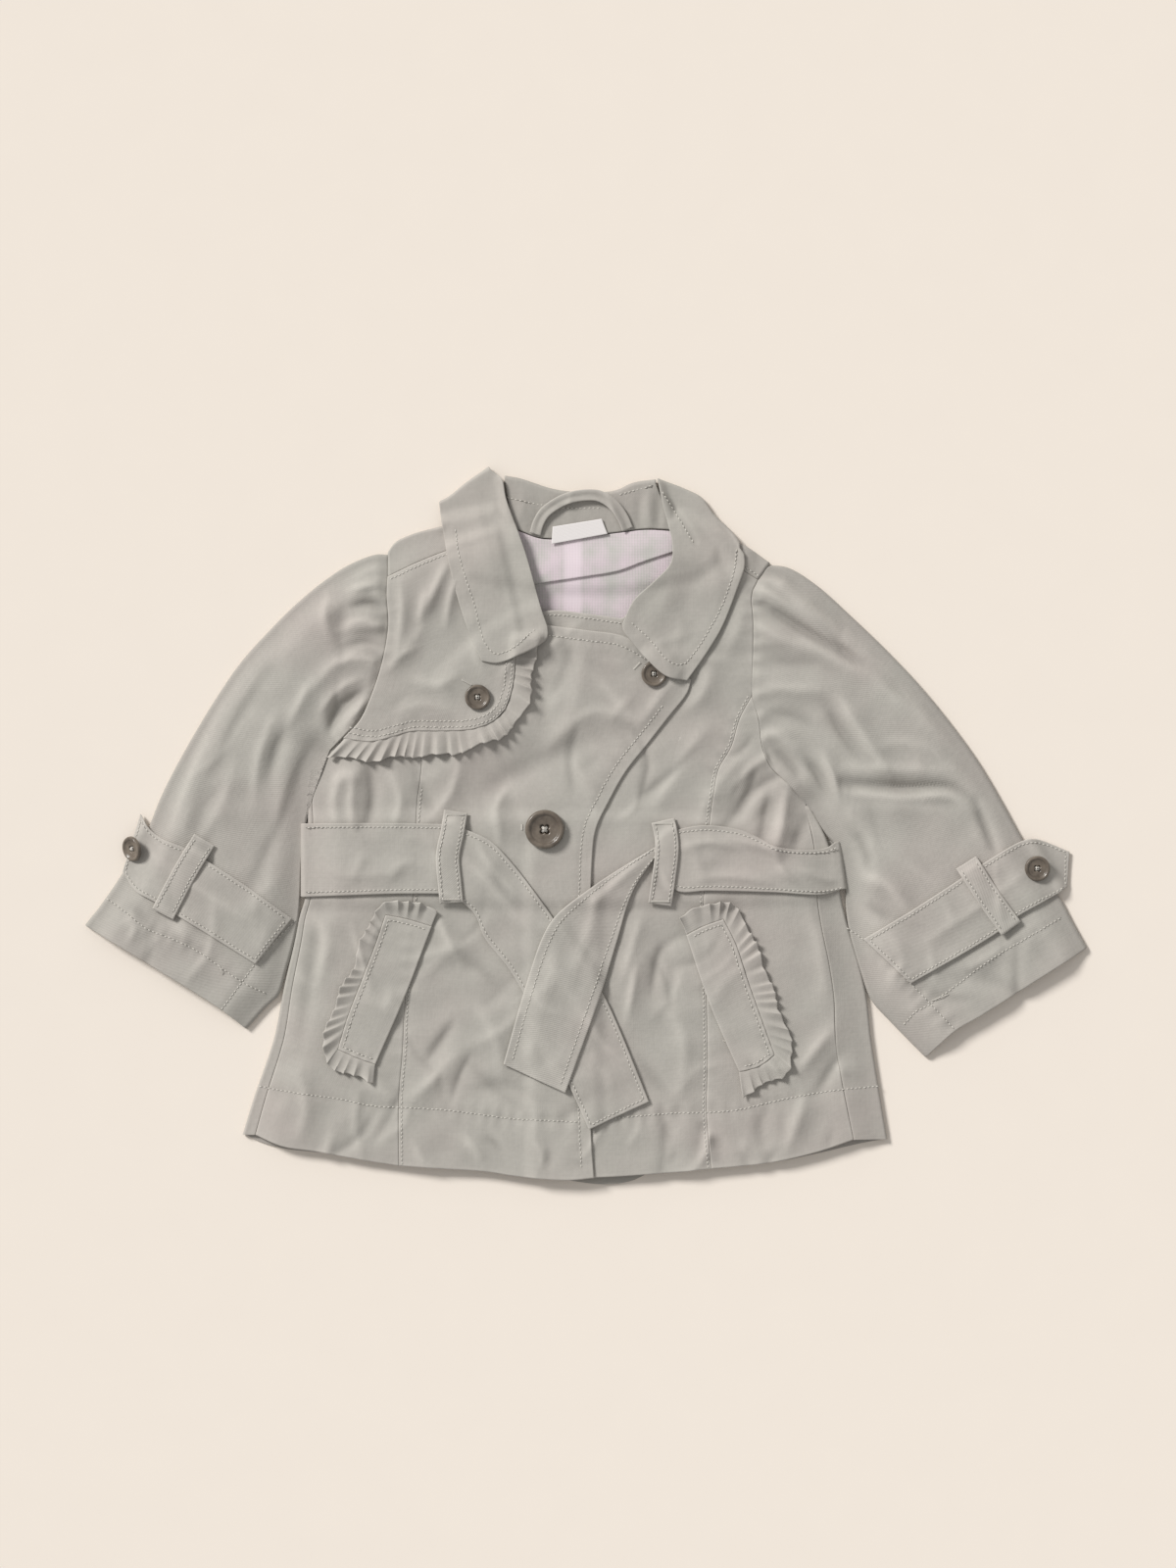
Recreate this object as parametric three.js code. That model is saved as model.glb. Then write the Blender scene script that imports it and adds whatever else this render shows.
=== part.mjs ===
// A small child's double-breasted trench coat, laid flat on its back with its belt tied.
// Every piece of cloth is a closed wall; a piece that lies on others is raised by their stack.
// Millimetres. The origin is the centre of the coat's footprint on the table, +X runs to the
// coat's left sleeve, +Y runs up to the collar and +Z points up. Left and right are the wearer's.
import * as THREE from "three";

// Cloth and the air between its layers
const CLOTH = 1.2;
const LINING = 1.0;
const GAP = 0.5;
const SEAM = 0.35;
const SIDE_SEAM = 0.8;
const ARMHOLE_GAP = 0.9;
const LAYER = CLOTH + GAP;
const LAP = LAYER + 0.2;
const SLOPE = 24;
const MARGIN = 3;
const FOLD_RADIUS = CLOTH + GAP / 2;

// How far the laid body and the puffed sleeves stand above a flat fold
const BODY_LOFT = 1.6;
const SLEEVE_LOFT = 2.3;
const MOST_LOFT = 3.3;
const LOFT_EDGE = 30;
const SLEEVE_EDGE = 22;

// Trims
const BELT_LOOP_WIDTH = 12.5;
const KEEPER_WIDTH = 12.6;
const HANGER_WIDTH = 6;
const LARGE_BUTTON = 20.7;
const SMALL_BUTTON = 13.4;
const BUTTON_HEIGHT = 0.2;
const BUTTON_SHANK = 0.3;
const BUTTON_SIDES = 16;
const COLLAR_TUCK = 8;
const STAND_RISE = 3.2;
const STAND_FOLD = (STAND_RISE + CLOTH) / 2;

// Cloth colours
const SAGE = { color: 0xb1aca5, roughness: 0.85, metalness: 0 };
const CHECK = { color: 0xccc1c3, roughness: 0.9, metalness: 0 };
const TAUPE = { color: 0x54483c, roughness: 0.3, metalness: 0 };
const WHITE = { color: 0xe9e6e2, roughness: 0.8, metalness: 0 };

// Lines of the body, each from the hem up or from the coat's right to its left
const SIDE_RIGHT = [
  [-182, -164], [-175.5, -143], [-168.5, -123], [-164.8, -111], [-160, -86], [-154.5, -62],
  [-152, -49], [-148.6, -38], [-147.8, -18], [-147.2, 3], [-147.7, 12], [-146.8, 20],
  [-144.6, 27], [-139, 36.5],
];
const SIDE_LEFT = [
  [159.6, -166.4], [154.4, -135], [150.8, -111], [148.7, -92], [145, -75], [138.8, -54],
  [134.8, -37.4], [133, -28], [129, -12], [124, 0], [118.6, 10.4],
];
// How far the back wraps round each side onto the front, at heights from the hem up
const WRAP_RIGHT = [
  { y: -164, width: 6.8 }, { y: -123, width: 5.6 }, { y: -83, width: 4.2 }, { y: -38, width: 2.9 },
  { y: 36, width: 2.4 },
];
const WRAP_LEFT = [
  { y: -166, width: 18 }, { y: -120, width: 19.6 }, { y: -78, width: 16.4 },
  { y: -37, width: 12.6 }, { y: -12, width: 8.2 }, { y: 10, width: 3.4 },
];
const ARMHOLE_RIGHT = [
  [-139, 36.5], [-128.5, 46], [-119.6, 55.6], [-113.6, 68.5], [-108.7, 83], [-106.3, 93],
  [-104.5, 107], [-105.4, 122], [-105, 131.5], [-105, 143.5],
];
const ARMHOLE_LEFT = [
  [118.6, 10.4], [113.4, 17.2], [105.6, 23.4], [97.8, 30.7], [93.1, 41.6], [91.2, 56.2],
  [87.8, 68.5], [88.3, 92.6], [88.3, 109], [87.6, 121.7], [91, 130], [96.7, 137.8],
];
const SHOULDER_RIGHT = [[-105, 143.5], [-101, 148.5], [-91.5, 153], [-76.4, 157], [-50, 163]];
const SHOULDER_LEFT = [[50, 160], [66, 154], [84, 146.5], [96.7, 137.8]];
const BACK_NECK = [[-50, 163], [-36, 153.5], [-6, 149], [30, 152], [50, 160]];
const BACK_HEM = [
  [-182, -164], [-174.7, -167.5], [-161, -171.5], [-142, -173.6], [-98, -179.8], [-55, -182.4],
  [-20, -186.6], [3, -190], [14, -190.3], [25, -188.4], [34, -184.6], [66, -181.6], [100, -178.8],
  [123, -174.2], [147, -168.6], [159.6, -166.4],
];
const SHOULDER_SEAM_RIGHT = [[-105, 131.5], [-91.5, 138], [-75.4, 144.6], [-49, 153.5]];
const SHOULDER_SEAM_LEFT = [[52, 149], [72, 141], [91, 130]];
const PRINCESS_RIGHT = [
  [-99, -180.2], [-99, -143.5], [-97, -118.6], [-96, -95.7], [-91.5, -40], [-89.9, 1],
  [-89.2, 14], [-87.8, 24.4], [-87.4, 36], [-94, 46.5], [-104, 56.5], [-113.6, 68.5],
];
const PRINCESS_LEFT = [
  [66.2, -181.8], [63.8, -151.8], [64.3, -125.8], [63.8, -92], [62.3, -34.8], [65.3, 1],
  [67.5, 17.2], [70, 29.6], [76.8, 41.6], [81.4, 56.7], [87.8, 68.5],
];
const OVER_EDGE = [
  [4.2, -186.5], [2.6, -160], [2.6, -90], [3.1, -19.8], [5.2, -2.1], [12, 12.5], [20.8, 28.1],
  [32.2, 42.6], [43.2, 56.7], [53.6, 70.2], [55.6, 77],
];
const UNDER_EDGE = [
  [-25, -187], [-25.5, -90], [-26, -20], [-24, -2], [-30.7, 12.5], [-39.5, 28.1], [-51, 42.6],
  [-62, 56.7], [-72.3, 70.2], [-74.3, 77],
];
const OVER_HEM = [
  [-99, -180.2], [-72.8, -182], [-54, -183.2], [-34.8, -186], [-9.9, -187.7], [4.2, -186.5],
];
const UNDER_HEM = [[-25, -187], [9.9, -186.2], [28.1, -185.1], [50.4, -183.4], [66.2, -181.8]];
const OVER_NECK = [[-22, 106], [1, 103], [18.7, 100.4], [35, 92], [55.6, 77]];
const OVER_COLLAR_SEAM = [[-49, 153.5], [-39, 139], [-31, 122], [-22, 106]];
const UNDER_NECK = [[-74.3, 77], [-54, 96], [-37, 107], [-21.3, 113.4], [1, 111.8], [19.2, 109.2]];
const UNDER_COLLAR_SEAM = [[19.2, 109.2], [30, 121], [45, 136], [52, 149]];
const SIDE_HEM_RIGHT = [[-175.5, -166.4], [-161.2, -171.8], [-142, -174.2], [-117, -178], [-99, -180.2]];
const SIDE_HEM_LEFT = [[66.2, -181.8], [81.6, -181], [99.8, -179.4], [123.2, -174.7], [142, -169]];

// Sleeves: the outer line from the shoulder to the cuff, the inner line from the underarm
const SLEEVE_OUTER_RIGHT = [
  [-106, 143.8], [-112, 143.6], [-126.4, 138], [-139.4, 129.5], [-153.9, 117.5], [-168.5, 103],
  [-183, 86.8], [-196.6, 67.1], [-208.5, 47.3], [-218.9, 28.6], [-226, 14], [-232.5, -2],
  [-242.5, -20], [-256, -40.5], [-265.7, -53],
];
const SLEEVE_INNER_RIGHT = [
  [-141.8, 38.2], [-149.8, 29], [-152.2, 20.4], [-152.8, 10], [-153, 2], [-153.4, -20],
  [-153.6, -38], [-154.2, -49], [-156, -62], [-160.4, -79], [-163, -90], [-169.5, -96.5],
  [-179.9, -108.2],
];
const CUFF_RIGHT = [[-265.7, -53], [-230, -74.5], [-192.9, -97.8], [-179.9, -108.2]];
const SLEEVE_OUTER_LEFT = [
  [98.4, 138.3], [107.6, 136.6], [122.2, 127.9], [142.5, 109.7], [160.2, 92.6], [177.8, 73.8],
  [193.4, 54.6], [208, 34.3], [220, 14], [231.4, -6.8], [242, -24], [251.5, -38.5], [258, -51],
  [265.7, -65],
];
const SLEEVE_INNER_LEFT = [
  [120, 11], [126.4, 3.4], [132, -0.4], [138, -4.6], [140.4, -18], [141.2, -34], [141.6, -46],
  [144, -62], [148.8, -80], [151.6, -93], [162.2, -105], [179.9, -123.2],
];
const CUFF_LEFT = [[265.7, -65], [251.7, -73.8], [208, -101.4], [195.5, -108.7], [179.9, -123.2]];

// Collar: each leaf from its roll (inner line) to its free edge, and the fold to the back
const LEAF_RIGHT = {
  inner: [[-20.4, 105], [-23.9, 115.4], [-32.2, 145], [-42.6, 173.7], [-45, 184], [-51.5, 190.3]],
  outer: [[-55, 86.6], [-60, 97], [-65.5, 112], [-72.3, 137.3], [-77, 163.8], [-78, 171.6]],
  tip: [[-55, 86.6], [-46.8, 85.6], [-36.4, 89.2], [-25, 94.8], [-20.4, 99], [-20.4, 105]],
  fold: [[-78, 171.6], [-72.3, 174.7], [-64, 181.5], [-51.5, 190.3]],
};
const LEAF_LEFT = {
  inner: [[19.2, 106.4], [25, 118.6], [43.2, 134.7], [56.4, 148.6], [50, 163], [39, 183.6]],
  outer: [[53.4, 76.4], [63.4, 90.5], [71.8, 104.5], [79.6, 124.3], [84, 138.3], [84.2, 146.6]],
  tip: [[19.2, 106.4], [19.6, 103], [24, 97], [32.2, 87.4], [42.6, 78.6], [53.4, 76.4]],
  fold: [[39, 183.6], [51, 179], [61.4, 173.7], [68.1, 164.8], [78.5, 154.4], [84.2, 146.6]],
};
const ROLL = [
  [-43.2, 185.4], [-35.4, 184], [-17.7, 178.4], [-6.2, 176.8], [14.6, 177.3], [25, 181.6],
  [37, 183.4],
];
const STAND_SEAM = [[-39, 157.5], [-23.4, 152.2], [-6.2, 152.6], [14.6, 155], [32, 157], [46.4, 156.4]];
const FALL_EDGE = [[-60, 136], [-30, 131], [0, 129], [30, 131], [56, 136]];
const FALL_SIDE_RIGHT = [[-60, 136], [-66, 147], [-69, 158], [-57, 168.4], [-46.5, 176.4], [-43.2, 183.2]];
const FALL_SIDE_LEFT = [[56, 136], [66, 146], [57, 156.5], [42.4, 171], [37, 181.2]];

// Storm flap, pockets, belt, straps
const FLAP_SEAM = [
  [-126.4, 47.4], [-112.3, 45.4], [-101.9, 47.5], [-91.5, 50.4], [-75.4, 50.4], [-59.3, 51.2],
  [-48.9, 55.1], [-42.6, 61.4], [-39.5, 70.2], [-38, 78.5], [-37.4, 88], [-37, 98],
];
const FLAP_COLLAR_SEAM = [[-49, 153.5], [-46, 140], [-41, 118], [-37, 98]];
const FLAP_RUFFLE_EDGE = [
  [-137.4, 36.6], [-123.2, 34.6], [-112.3, 34], [-101.9, 35.4], [-93.6, 35.9], [-80.6, 36.8],
  [-70.2, 37.6], [-61.4, 40], [-53, 43], [-44.7, 46.6], [-38.5, 51.4], [-32, 60], [-28.8, 71],
  [-27.6, 80], [-26.4, 89], [-26, 98],
];
const WELT_RIGHT = {
  top: [[-106, -47.4], [-95, -49.5], [-81.5, -53.4]],
  bottom: [[-131.2, -118.4], [-121, -123], [-111.3, -126.4]],
  outer: [[-131.2, -118.4], [-125.8, -101], [-118, -80.6], [-110.8, -61.9], [-106, -47.4]],
  inner: [[-111.3, -126.4], [-95.7, -90.5], [-81.5, -53.4]],
};
const WELT_LEFT = {
  top: [[53, -58], [62, -53.4], [72.6, -49.6]],
  bottom: [[81, -130.4], [91, -127.6], [99.6, -121.4]],
  outer: [[99.6, -121.4], [92.6, -102], [85.3, -81.6], [79, -62.4], [72.6, -49.6]],
  inner: [[81, -130.4], [72.3, -111], [64, -91], [53, -58]],
};
const RUFFLE_RIGHT = [
  [-77.6, -45.4], [-87.9, -41.4], [-97.8, -39], [-105.6, -40.6], [-112.8, -47.8], [-117.5, -56.7],
  [-120.8, -66.6], [-124.6, -77], [-129.3, -86], [-133.1, -94.6], [-136.2, -103.5], [-138.6, -111],
  [-138.9, -121.5], [-134.7, -127.9], [-128.4, -131], [-111.8, -136],
];
const RUFFLE_LEFT = [
  [48.6, -49.6], [56, -44.6], [64, -41], [73.3, -40.4], [81, -45.4], [85.8, -53], [89, -61.4],
  [93.8, -72], [98.3, -85], [101.8, -95], [105.8, -106.6], [109, -114], [109.6, -121], [105.8, -131],
  [96.2, -136.6], [83.6, -143.2],
];
const BELT_TOP_RIGHT = [[-69.3, 0.6], [-100, 1.2], [-125, 1.2], [-151.2, 1]];
const BELT_FOOT_RIGHT = [[-69.3, -36.2], [-100, -36.2], [-125, -37], [-151.2, -38]];
const BELT_TOP_BACK = [[-151.2, 1], [-100, 1], [40, 0], [100, -3], [134.7, -8.6]];
const BELT_FOOT_BACK = [[-151.2, -38], [-100, -37.5], [40, -37], [100, -36], [138.3, -33.8]];
const BELT_TOP_LEFT = [
  [134.7, -8.6], [127.9, -12], [115.4, -13], [99.8, -11], [93.1, -7.4], [81.6, -2.4], [66, 0],
  [56.7, -0.4], [47.8, -2.6], [42, -6], [39.2, -9.4],
];
const BELT_FOOT_LEFT = [
  [138.3, -33.8], [126.9, -36.6], [98.8, -35.4], [65, -34.6], [47.8, -34.6], [42.6, -27],
  [39.2, -16.4],
];
const TAIL_RIGHT = {
  left: [[-68.6, -38.4], [-68.6, -0.6]],
  top: [
    [-68.6, -0.6], [-62.4, -2.6], [-50.4, -8.3], [-40.6, -18.2], [-25.5, -37.4], [8.5, -88.4],
    [16.1, -104], [33.3, -146.1],
  ],
  bottom: [
    [-68.6, -38.4], [-64.4, -41.6], [-58.6, -47.4], [-53.6, -59.4], [-39, -78.5], [-10.6, -134],
    [1.6, -160.7],
  ],
  right: [[1.6, -160.7], [33.3, -146.1]],
};
const TAIL_LEFT = {
  left: [
    [37.9, -10.6], [17.7, -22.9], [3.6, -32.2], [-16.1, -47.8], [-22.4, -57.7], [-31.7, -84.2],
    [-43.7, -126.4],
  ],
  right: [[38.2, -14.6], [25, -34.3], [16.1, -62.4], [8.8, -86.3], [-10.9, -141.4]],
  top: [[37.9, -10.6], [38.2, -14.6]],
  bottom: [[-43.7, -126.4], [-10.9, -141.4]],
};
const LOOP_RIGHT = [[-68.8, 7.4], [-70.6, -4], [-73, -16], [-72, -30], [-71, -41]];
const LOOP_LEFT = [[40.6, 2.6], [42.4, -6], [42.7, -14], [41, -28], [39, -42]];
const STRAP_RIGHT = {
  top: [[-236.1, 6.2], [-230.9, -2], [-223.6, -7.3], [-212.2, -12], [-182, -30.4], [-155.6, -49.4]],
  bottom: [[-245.4, -24.4], [-238.7, -34.3], [-227.8, -40.6], [-200, -57.4], [-174.7, -73.3]],
};
const STRAP_LEFT = {
  top: [
    [146.6, -60.3], [171.6, -45.2], [198.1, -28.1], [209.6, -20.3], [230.9, -8.3], [238.2, -7.3],
    [256.4, -14],
  ],
  bottom: [[171.6, -83.7], [217.4, -56.7], [227.8, -48.4], [250.1, -36], [255.3, -32.2]],
};
const KEEPER_RIGHT = [[-201.6, -7.6], [-212, -25], [-223.6, -47]];
const KEEPER_LEFT = [[200.8, -19.6], [212.6, -38], [224.6, -54.6]];
const HANGER_ARCH = [
  [-27, 154], [-23.5, 163.5], [-14, 171], [-4, 174.2], [8, 173.8], [17.4, 166], [22, 156.6],
];
const LABEL = { top: [[-17.7, 158], [8.3, 162.2]], bottom: [[-18.2, 148.8], [11.4, 154.2]] };
const LINING_UPPER = {
  top: [
    [-38.6, 157], [-23.4, 151.7], [-6.2, 152.1], [14.6, 154.5], [32, 156.4], [45.6, 155.6],
  ],
  bottom: [[-29, 127.4], [-1.6, 131.4], [17.2, 134.6], [29.6, 139.2], [45, 144.2]],
};
const LINING_LOWER = {
  top: [[-30, 132.5], [-1.6, 136.5], [17.2, 139.6], [29.6, 144], [44, 149]],
  bottom: [[-29, 99], [0, 97], [24, 98]],
};

// Large folds of the body: a row runs from one end to the other, rising or, below zero, sinking
const BODY_FOLDS = [
  { x0: 1, y0: 43, x1: -59, y1: 13, width: 17, rise: -0.5 },
  { x0: -22, y0: 62, x1: -78, y1: 24, width: 15, rise: 0.5 },
  { x0: -123, y0: 24, x1: -122, y1: -4, width: 7, rise: 0.9 },
  { x0: 43, y0: 18, x1: 62, y1: 52, width: 9, rise: 0.9 },
  { x0: 105, y0: 20, x1: 101, y1: -12, width: 7, rise: 1.2 },
  { x0: 96, y0: 14, x1: 92, y1: -10, width: 8, rise: -1.0 },
  { x0: -141, y0: -43, x1: -150, y1: -119, width: 9, rise: -0.8 },
  { x0: -90, y0: -144, x1: -68, y1: -122, width: 9, rise: 0.8 },
  { x0: 26, y0: -60, x1: 22, y1: -110, width: 10, rise: 0.9 },
  { x0: 127, y0: -108, x1: 112, y1: -130, width: 9, rise: 0.8 },
  { x0: 116, y0: -140, x1: 106, y1: -172, width: 9, rise: 0.8 },
  { x0: -74, y0: 137, x1: -86, y1: 107, width: 9, rise: 0.8 },
];
// Large folds of the sleeves, with the gathers at each head
const SLEEVE_FOLDS = [
  { x0: -104, y0: 121, x1: -124, y1: 125, width: 4.5, rise: 1.0 },
  { x0: -105, y0: 134, x1: -122, y1: 133, width: 4.5, rise: -1.0 },
  { x0: -106, y0: 109, x1: -122, y1: 110, width: 5, rise: -0.9 },
  { x0: -137, y0: 122, x1: -137, y1: 104, width: 7, rise: 0.9 },
  { x0: -121, y0: 66, x1: -137, y1: 50, width: 7, rise: -1.1 },
  { x0: -144, y0: 74, x1: -164, y1: 46, width: 9, rise: 1.0 },
  { x0: -174, y0: 92, x1: -219, y1: 4, width: 11, rise: 1.0 },
  { x0: -150, y0: 26, x1: -178, y1: -34, width: 10, rise: -0.9 },
  { x0: 92, y0: 126, x1: 132, y1: 97, width: 6, rise: 1.2 },
  { x0: 96, y0: 115, x1: 140, y1: 84, width: 6, rise: -1.2 },
  { x0: 94, y0: 134, x1: 110, y1: 127, width: 4.5, rise: -0.9 },
  { x0: 135, y0: 64, x1: 162, y1: 26, width: 8, rise: 1.1 },
  { x0: 132, y0: 22, x1: 196, y1: 18, width: 9, rise: -1.1 },
  { x0: 203, y0: 16, x1: 216, y1: -16, width: 8, rise: -0.8 },
  { x0: 96, y0: 74, x1: 128, y1: 70, width: 10, rise: 0.9 },
  { x0: 145, y0: -22, x1: 172, y1: -45, width: 9, rise: 0.9 },
];

// Gathered trims: pleats along the strip and how high they stand
const RUFFLES = {
  flap: { pleats: 28, rise: 1.6 },
  pocket: { pleats: 24, rise: 1.5 },
};
const RUFFLE_WALL = 1.5;
const STEPS_PER_PLEAT = 4;

const coat = new THREE.Group();

// Curves in the plan: one smooth stretch or several that meet at corners
function line(...stretches) {
  const path = new THREE.CurvePath();
  for (const points of stretches) {
    const places = points.map(([x, y]) => new THREE.Vector3(x, y, 0));
    path.add(new THREE.CatmullRomCurve3(places, false, "centripetal"));
  }
  return path;
}

function at(path, share) {
  const place = path.getPoint(THREE.MathUtils.clamp(share, 0, 1));
  return [place.x, place.y];
}

function sample(path, steps = 40) {
  return Array.from({ length: steps + 1 }, (_, i) => at(path, i / steps));
}

// Stretches of a line that each take a given share of its columns or rows
function paced(...stretches) {
  const lines = stretches.map(({ points }) => line(points));
  return {
    getPoint(share) {
      let start = 0;
      let i = 0;
      while (i < stretches.length - 1 && share > start + stretches[i].share) {
        start += stretches[i].share;
        i += 1;
      }
      return new THREE.Vector3(...at(lines[i], (share - start) / stretches[i].share), 0);
    },
  };
}

const mix = (a, b, share) => a + (b - a) * share;
const between = ([ax, ay], [bx, by], share) => [mix(ax, bx, share), mix(ay, by, share)];
const moved = (points, dx, dy = 0) => points.map(([x, y]) => [x + dx, y + dy]);
const range = (count) => Array.from({ length: count + 1 }, (_, i) => i / count);

function smooth(value) {
  const t = THREE.MathUtils.clamp(value, 0, 1);
  return t * t * (3 - 2 * t);
}

// The height of a table of rows at y, straight between its rows
function tableWidth(rows, y) {
  if (y <= rows[0].y) return rows[0].width;
  for (let i = 1; i < rows.length; i++) {
    const low = rows[i - 1];
    const high = rows[i];
    if (y <= high.y) return mix(low.width, high.width, (y - low.y) / (high.y - low.y));
  }
  return rows[rows.length - 1].width;
}

// A surface patch between four lines that meet at its corners
function patch({ bottom, top, left, right }) {
  const corner = [at(bottom, 0), at(bottom, 1), at(top, 0), at(top, 1)];
  const place = (u, v) =>
    [0, 1].map((axis) => {
      const across = mix(at(bottom, u)[axis], at(top, u)[axis], v);
      const along = mix(at(left, v)[axis], at(right, v)[axis], u);
      const flat = mix(
        mix(corner[0][axis], corner[1][axis], u),
        mix(corner[2][axis], corner[3][axis], u),
        v,
      );
      return across + along - flat;
    });
  place.outline = [
    ...sample(bottom),
    ...sample(right),
    ...sample(top).reverse(),
    ...sample(left).reverse(),
  ];
  return place;
}

// The patch of a table with the points of its four lines
const patchOf = (sides) =>
  patch(Object.fromEntries(Object.entries(sides).map(([key, points]) => [key, line(points)])));

// A strip between two lines, u along it and v across
function strip(from, to) {
  const place = (u, v) => between(at(from, u), at(to, u), v);
  place.outline = [...sample(from), ...sample(to).reverse()];
  return place;
}

// A band of one width that follows a line
function band(points, width) {
  const path = line(points);
  const place = (u, v) => {
    const [x, y] = at(path, u);
    const tangent = path.getTangentAt(u);
    const offset = (v - 0.5) * width;
    return [x - tangent.y * offset, y + tangent.x * offset];
  };
  place.outline = [
    ...range(20).map((u) => place(u, 0)),
    ...range(20).reverse().map((u) => place(u, 1)),
  ];
  return place;
}

function disc([cx, cy], diameter) {
  return range(24).map((turn) => [
    cx + (diameter / 2) * Math.cos(2 * Math.PI * turn),
    cy + (diameter / 2) * Math.sin(2 * Math.PI * turn),
  ]);
}

function distanceToLine(points, x, y) {
  let least = Infinity;
  for (let i = 1; i < points.length; i++) {
    const [ax, ay] = points[i - 1];
    const [bx, by] = points[i];
    const length2 = (bx - ax) ** 2 + (by - ay) ** 2;
    const share = length2 ? ((x - ax) * (bx - ax) + (y - ay) * (by - ay)) / length2 : 0;
    const t = THREE.MathUtils.clamp(share, 0, 1);
    least = Math.min(least, Math.hypot(x - mix(ax, bx, t), y - mix(ay, by, t)));
  }
  return least;
}

function isInside(outline, x, y) {
  let inside = false;
  for (let i = 0, j = outline.length - 1; i < outline.length; j = i++) {
    const [ax, ay] = outline[i];
    const [bx, by] = outline[j];
    if (ay > y !== by > y && x < ((bx - ax) * (y - ay)) / (by - ay) + ax) inside = !inside;
  }
  return inside;
}

// The share of a layer's height that is felt at a place: all of it on the layer and a little
// past its edge, then a smooth slope down to nothing
function cover(outline, slope = SLOPE) {
  const xs = outline.map(([x]) => x);
  const ys = outline.map(([, y]) => y);
  const reach = slope + MARGIN;
  const [left, right] = [Math.min(...xs) - reach, Math.max(...xs) + reach];
  const [low, high] = [Math.min(...ys) - reach, Math.max(...ys) + reach];
  return (x, y) => {
    if (x < left || x > right || y < low || y > high) return 0;
    if (isInside(outline, x, y)) return 1;
    const away = distanceToLine([...outline, outline[0]], x, y);
    return 1 - smooth((away - MARGIN) / slope);
  };
}

// The sum of a table of folds at a place: a bell across each fold, faded at both ends
function foldHeight(rows, x, y) {
  return rows.reduce((sum, { x0, y0, x1, y1, width, rise }) => {
    const length = Math.hypot(x1 - x0, y1 - y0);
    const along = ((x - x0) * (x1 - x0) + (y - y0) * (y1 - y0)) / length;
    const off = ((x - x0) * (y1 - y0) - (y - y0) * (x1 - x0)) / length;
    const past = Math.max(0, -along, along - length);
    return sum + rise * Math.exp(-((off / width) ** 2) - (past / (1.6 * width)) ** 2);
  }, 0);
}

// A closed wall between two grids of points, with a rim round each edge of its live cells
function wall(name, outer, inner, look, { live = () => true, ring = false } = {}) {
  const rows = outer.length;
  const columns = outer[0].length;
  const lastRow = rows - 1;
  const lastColumn = ring ? columns : columns - 1;
  const has = (r, c) => {
    const column = ring ? (c + columns) % columns : c;
    return r >= 0 && r < lastRow && column >= 0 && column < lastColumn && live(r, column);
  };
  const corners = [];
  const quad = (a, b, c, d) => corners.push(a, b, c, a, c, d);
  for (let r = 0; r < lastRow; r++) {
    for (let c = 0; c < lastColumn; c++) {
      if (!has(r, c)) continue;
      const n = (c + 1) % columns;
      quad(outer[r][c], outer[r][n], outer[r + 1][n], outer[r + 1][c]);
      quad(inner[r][c], inner[r + 1][c], inner[r + 1][n], inner[r][n]);
      if (!has(r - 1, c)) quad(inner[r][c], inner[r][n], outer[r][n], outer[r][c]);
      if (!has(r + 1, c)) quad(outer[r + 1][c], outer[r + 1][n], inner[r + 1][n], inner[r + 1][c]);
      if (!has(r, c - 1)) quad(outer[r][c], outer[r + 1][c], inner[r + 1][c], inner[r][c]);
      if (!has(r, c + 1)) quad(inner[r][n], inner[r + 1][n], outer[r + 1][n], outer[r][n]);
    }
  }
  let volume = 0;
  for (let i = 0; i < corners.length; i += 3) {
    const [a, b, c] = [0, 1, 2].map((k) => new THREE.Vector3(...corners[i + k]));
    volume += a.dot(b.cross(c));
  }
  if (volume < 0) {
    for (let i = 0; i < corners.length; i += 3)
      [corners[i + 1], corners[i + 2]] = [corners[i + 2], corners[i + 1]];
  }
  const geometry = new THREE.BufferGeometry();
  geometry.setAttribute("position", new THREE.Float32BufferAttribute(corners.flat(), 3));
  geometry.computeVertexNormals();
  addMesh(name, geometry, look);
}

function addMesh(name, geometry, look) {
  const mesh = new THREE.Mesh(geometry, new THREE.MeshStandardMaterial(look));
  mesh.name = name;
  coat.add(mesh);
  return mesh;
}

// A piece that lies on what is under it: its underside follows the given height
function panel(name, place, columns, rows, under, thickness = CLOTH, look = SAGE) {
  const inner = range(rows).map((v) =>
    range(columns).map((u) => {
      const [x, y] = place(u, v);
      return [x, y, under(x, y, u, v)];
    }),
  );
  const outer = inner.map((row) => row.map(([x, y, z]) => [x, y, z + thickness]));
  wall(name, outer, inner, look);
}

// Points round a fold from the upper layer to the lower one, about a centre inside the edge
const FOLD_TURNS = [50, 0, -50];
function foldRing([x, y], [dx, dy], centre, radius, thickness) {
  return FOLD_TURNS.map((degrees) => {
    const angle = THREE.MathUtils.degToRad(degrees);
    const spot = (r) => [
      x + dx * r * Math.cos(angle),
      y + dy * r * Math.cos(angle),
      centre + r * Math.sin(angle),
    ];
    return { outer: spot(radius), inner: spot(radius - thickness) };
  });
}

const faceOf = (rows, side) => rows.map((row) => row.map((pair) => pair[side]));

function direction([ax, ay], [bx, by]) {
  const length = Math.hypot(bx - ax, by - ay);
  return [(bx - ax) / length, (by - ay) / length];
}

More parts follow.
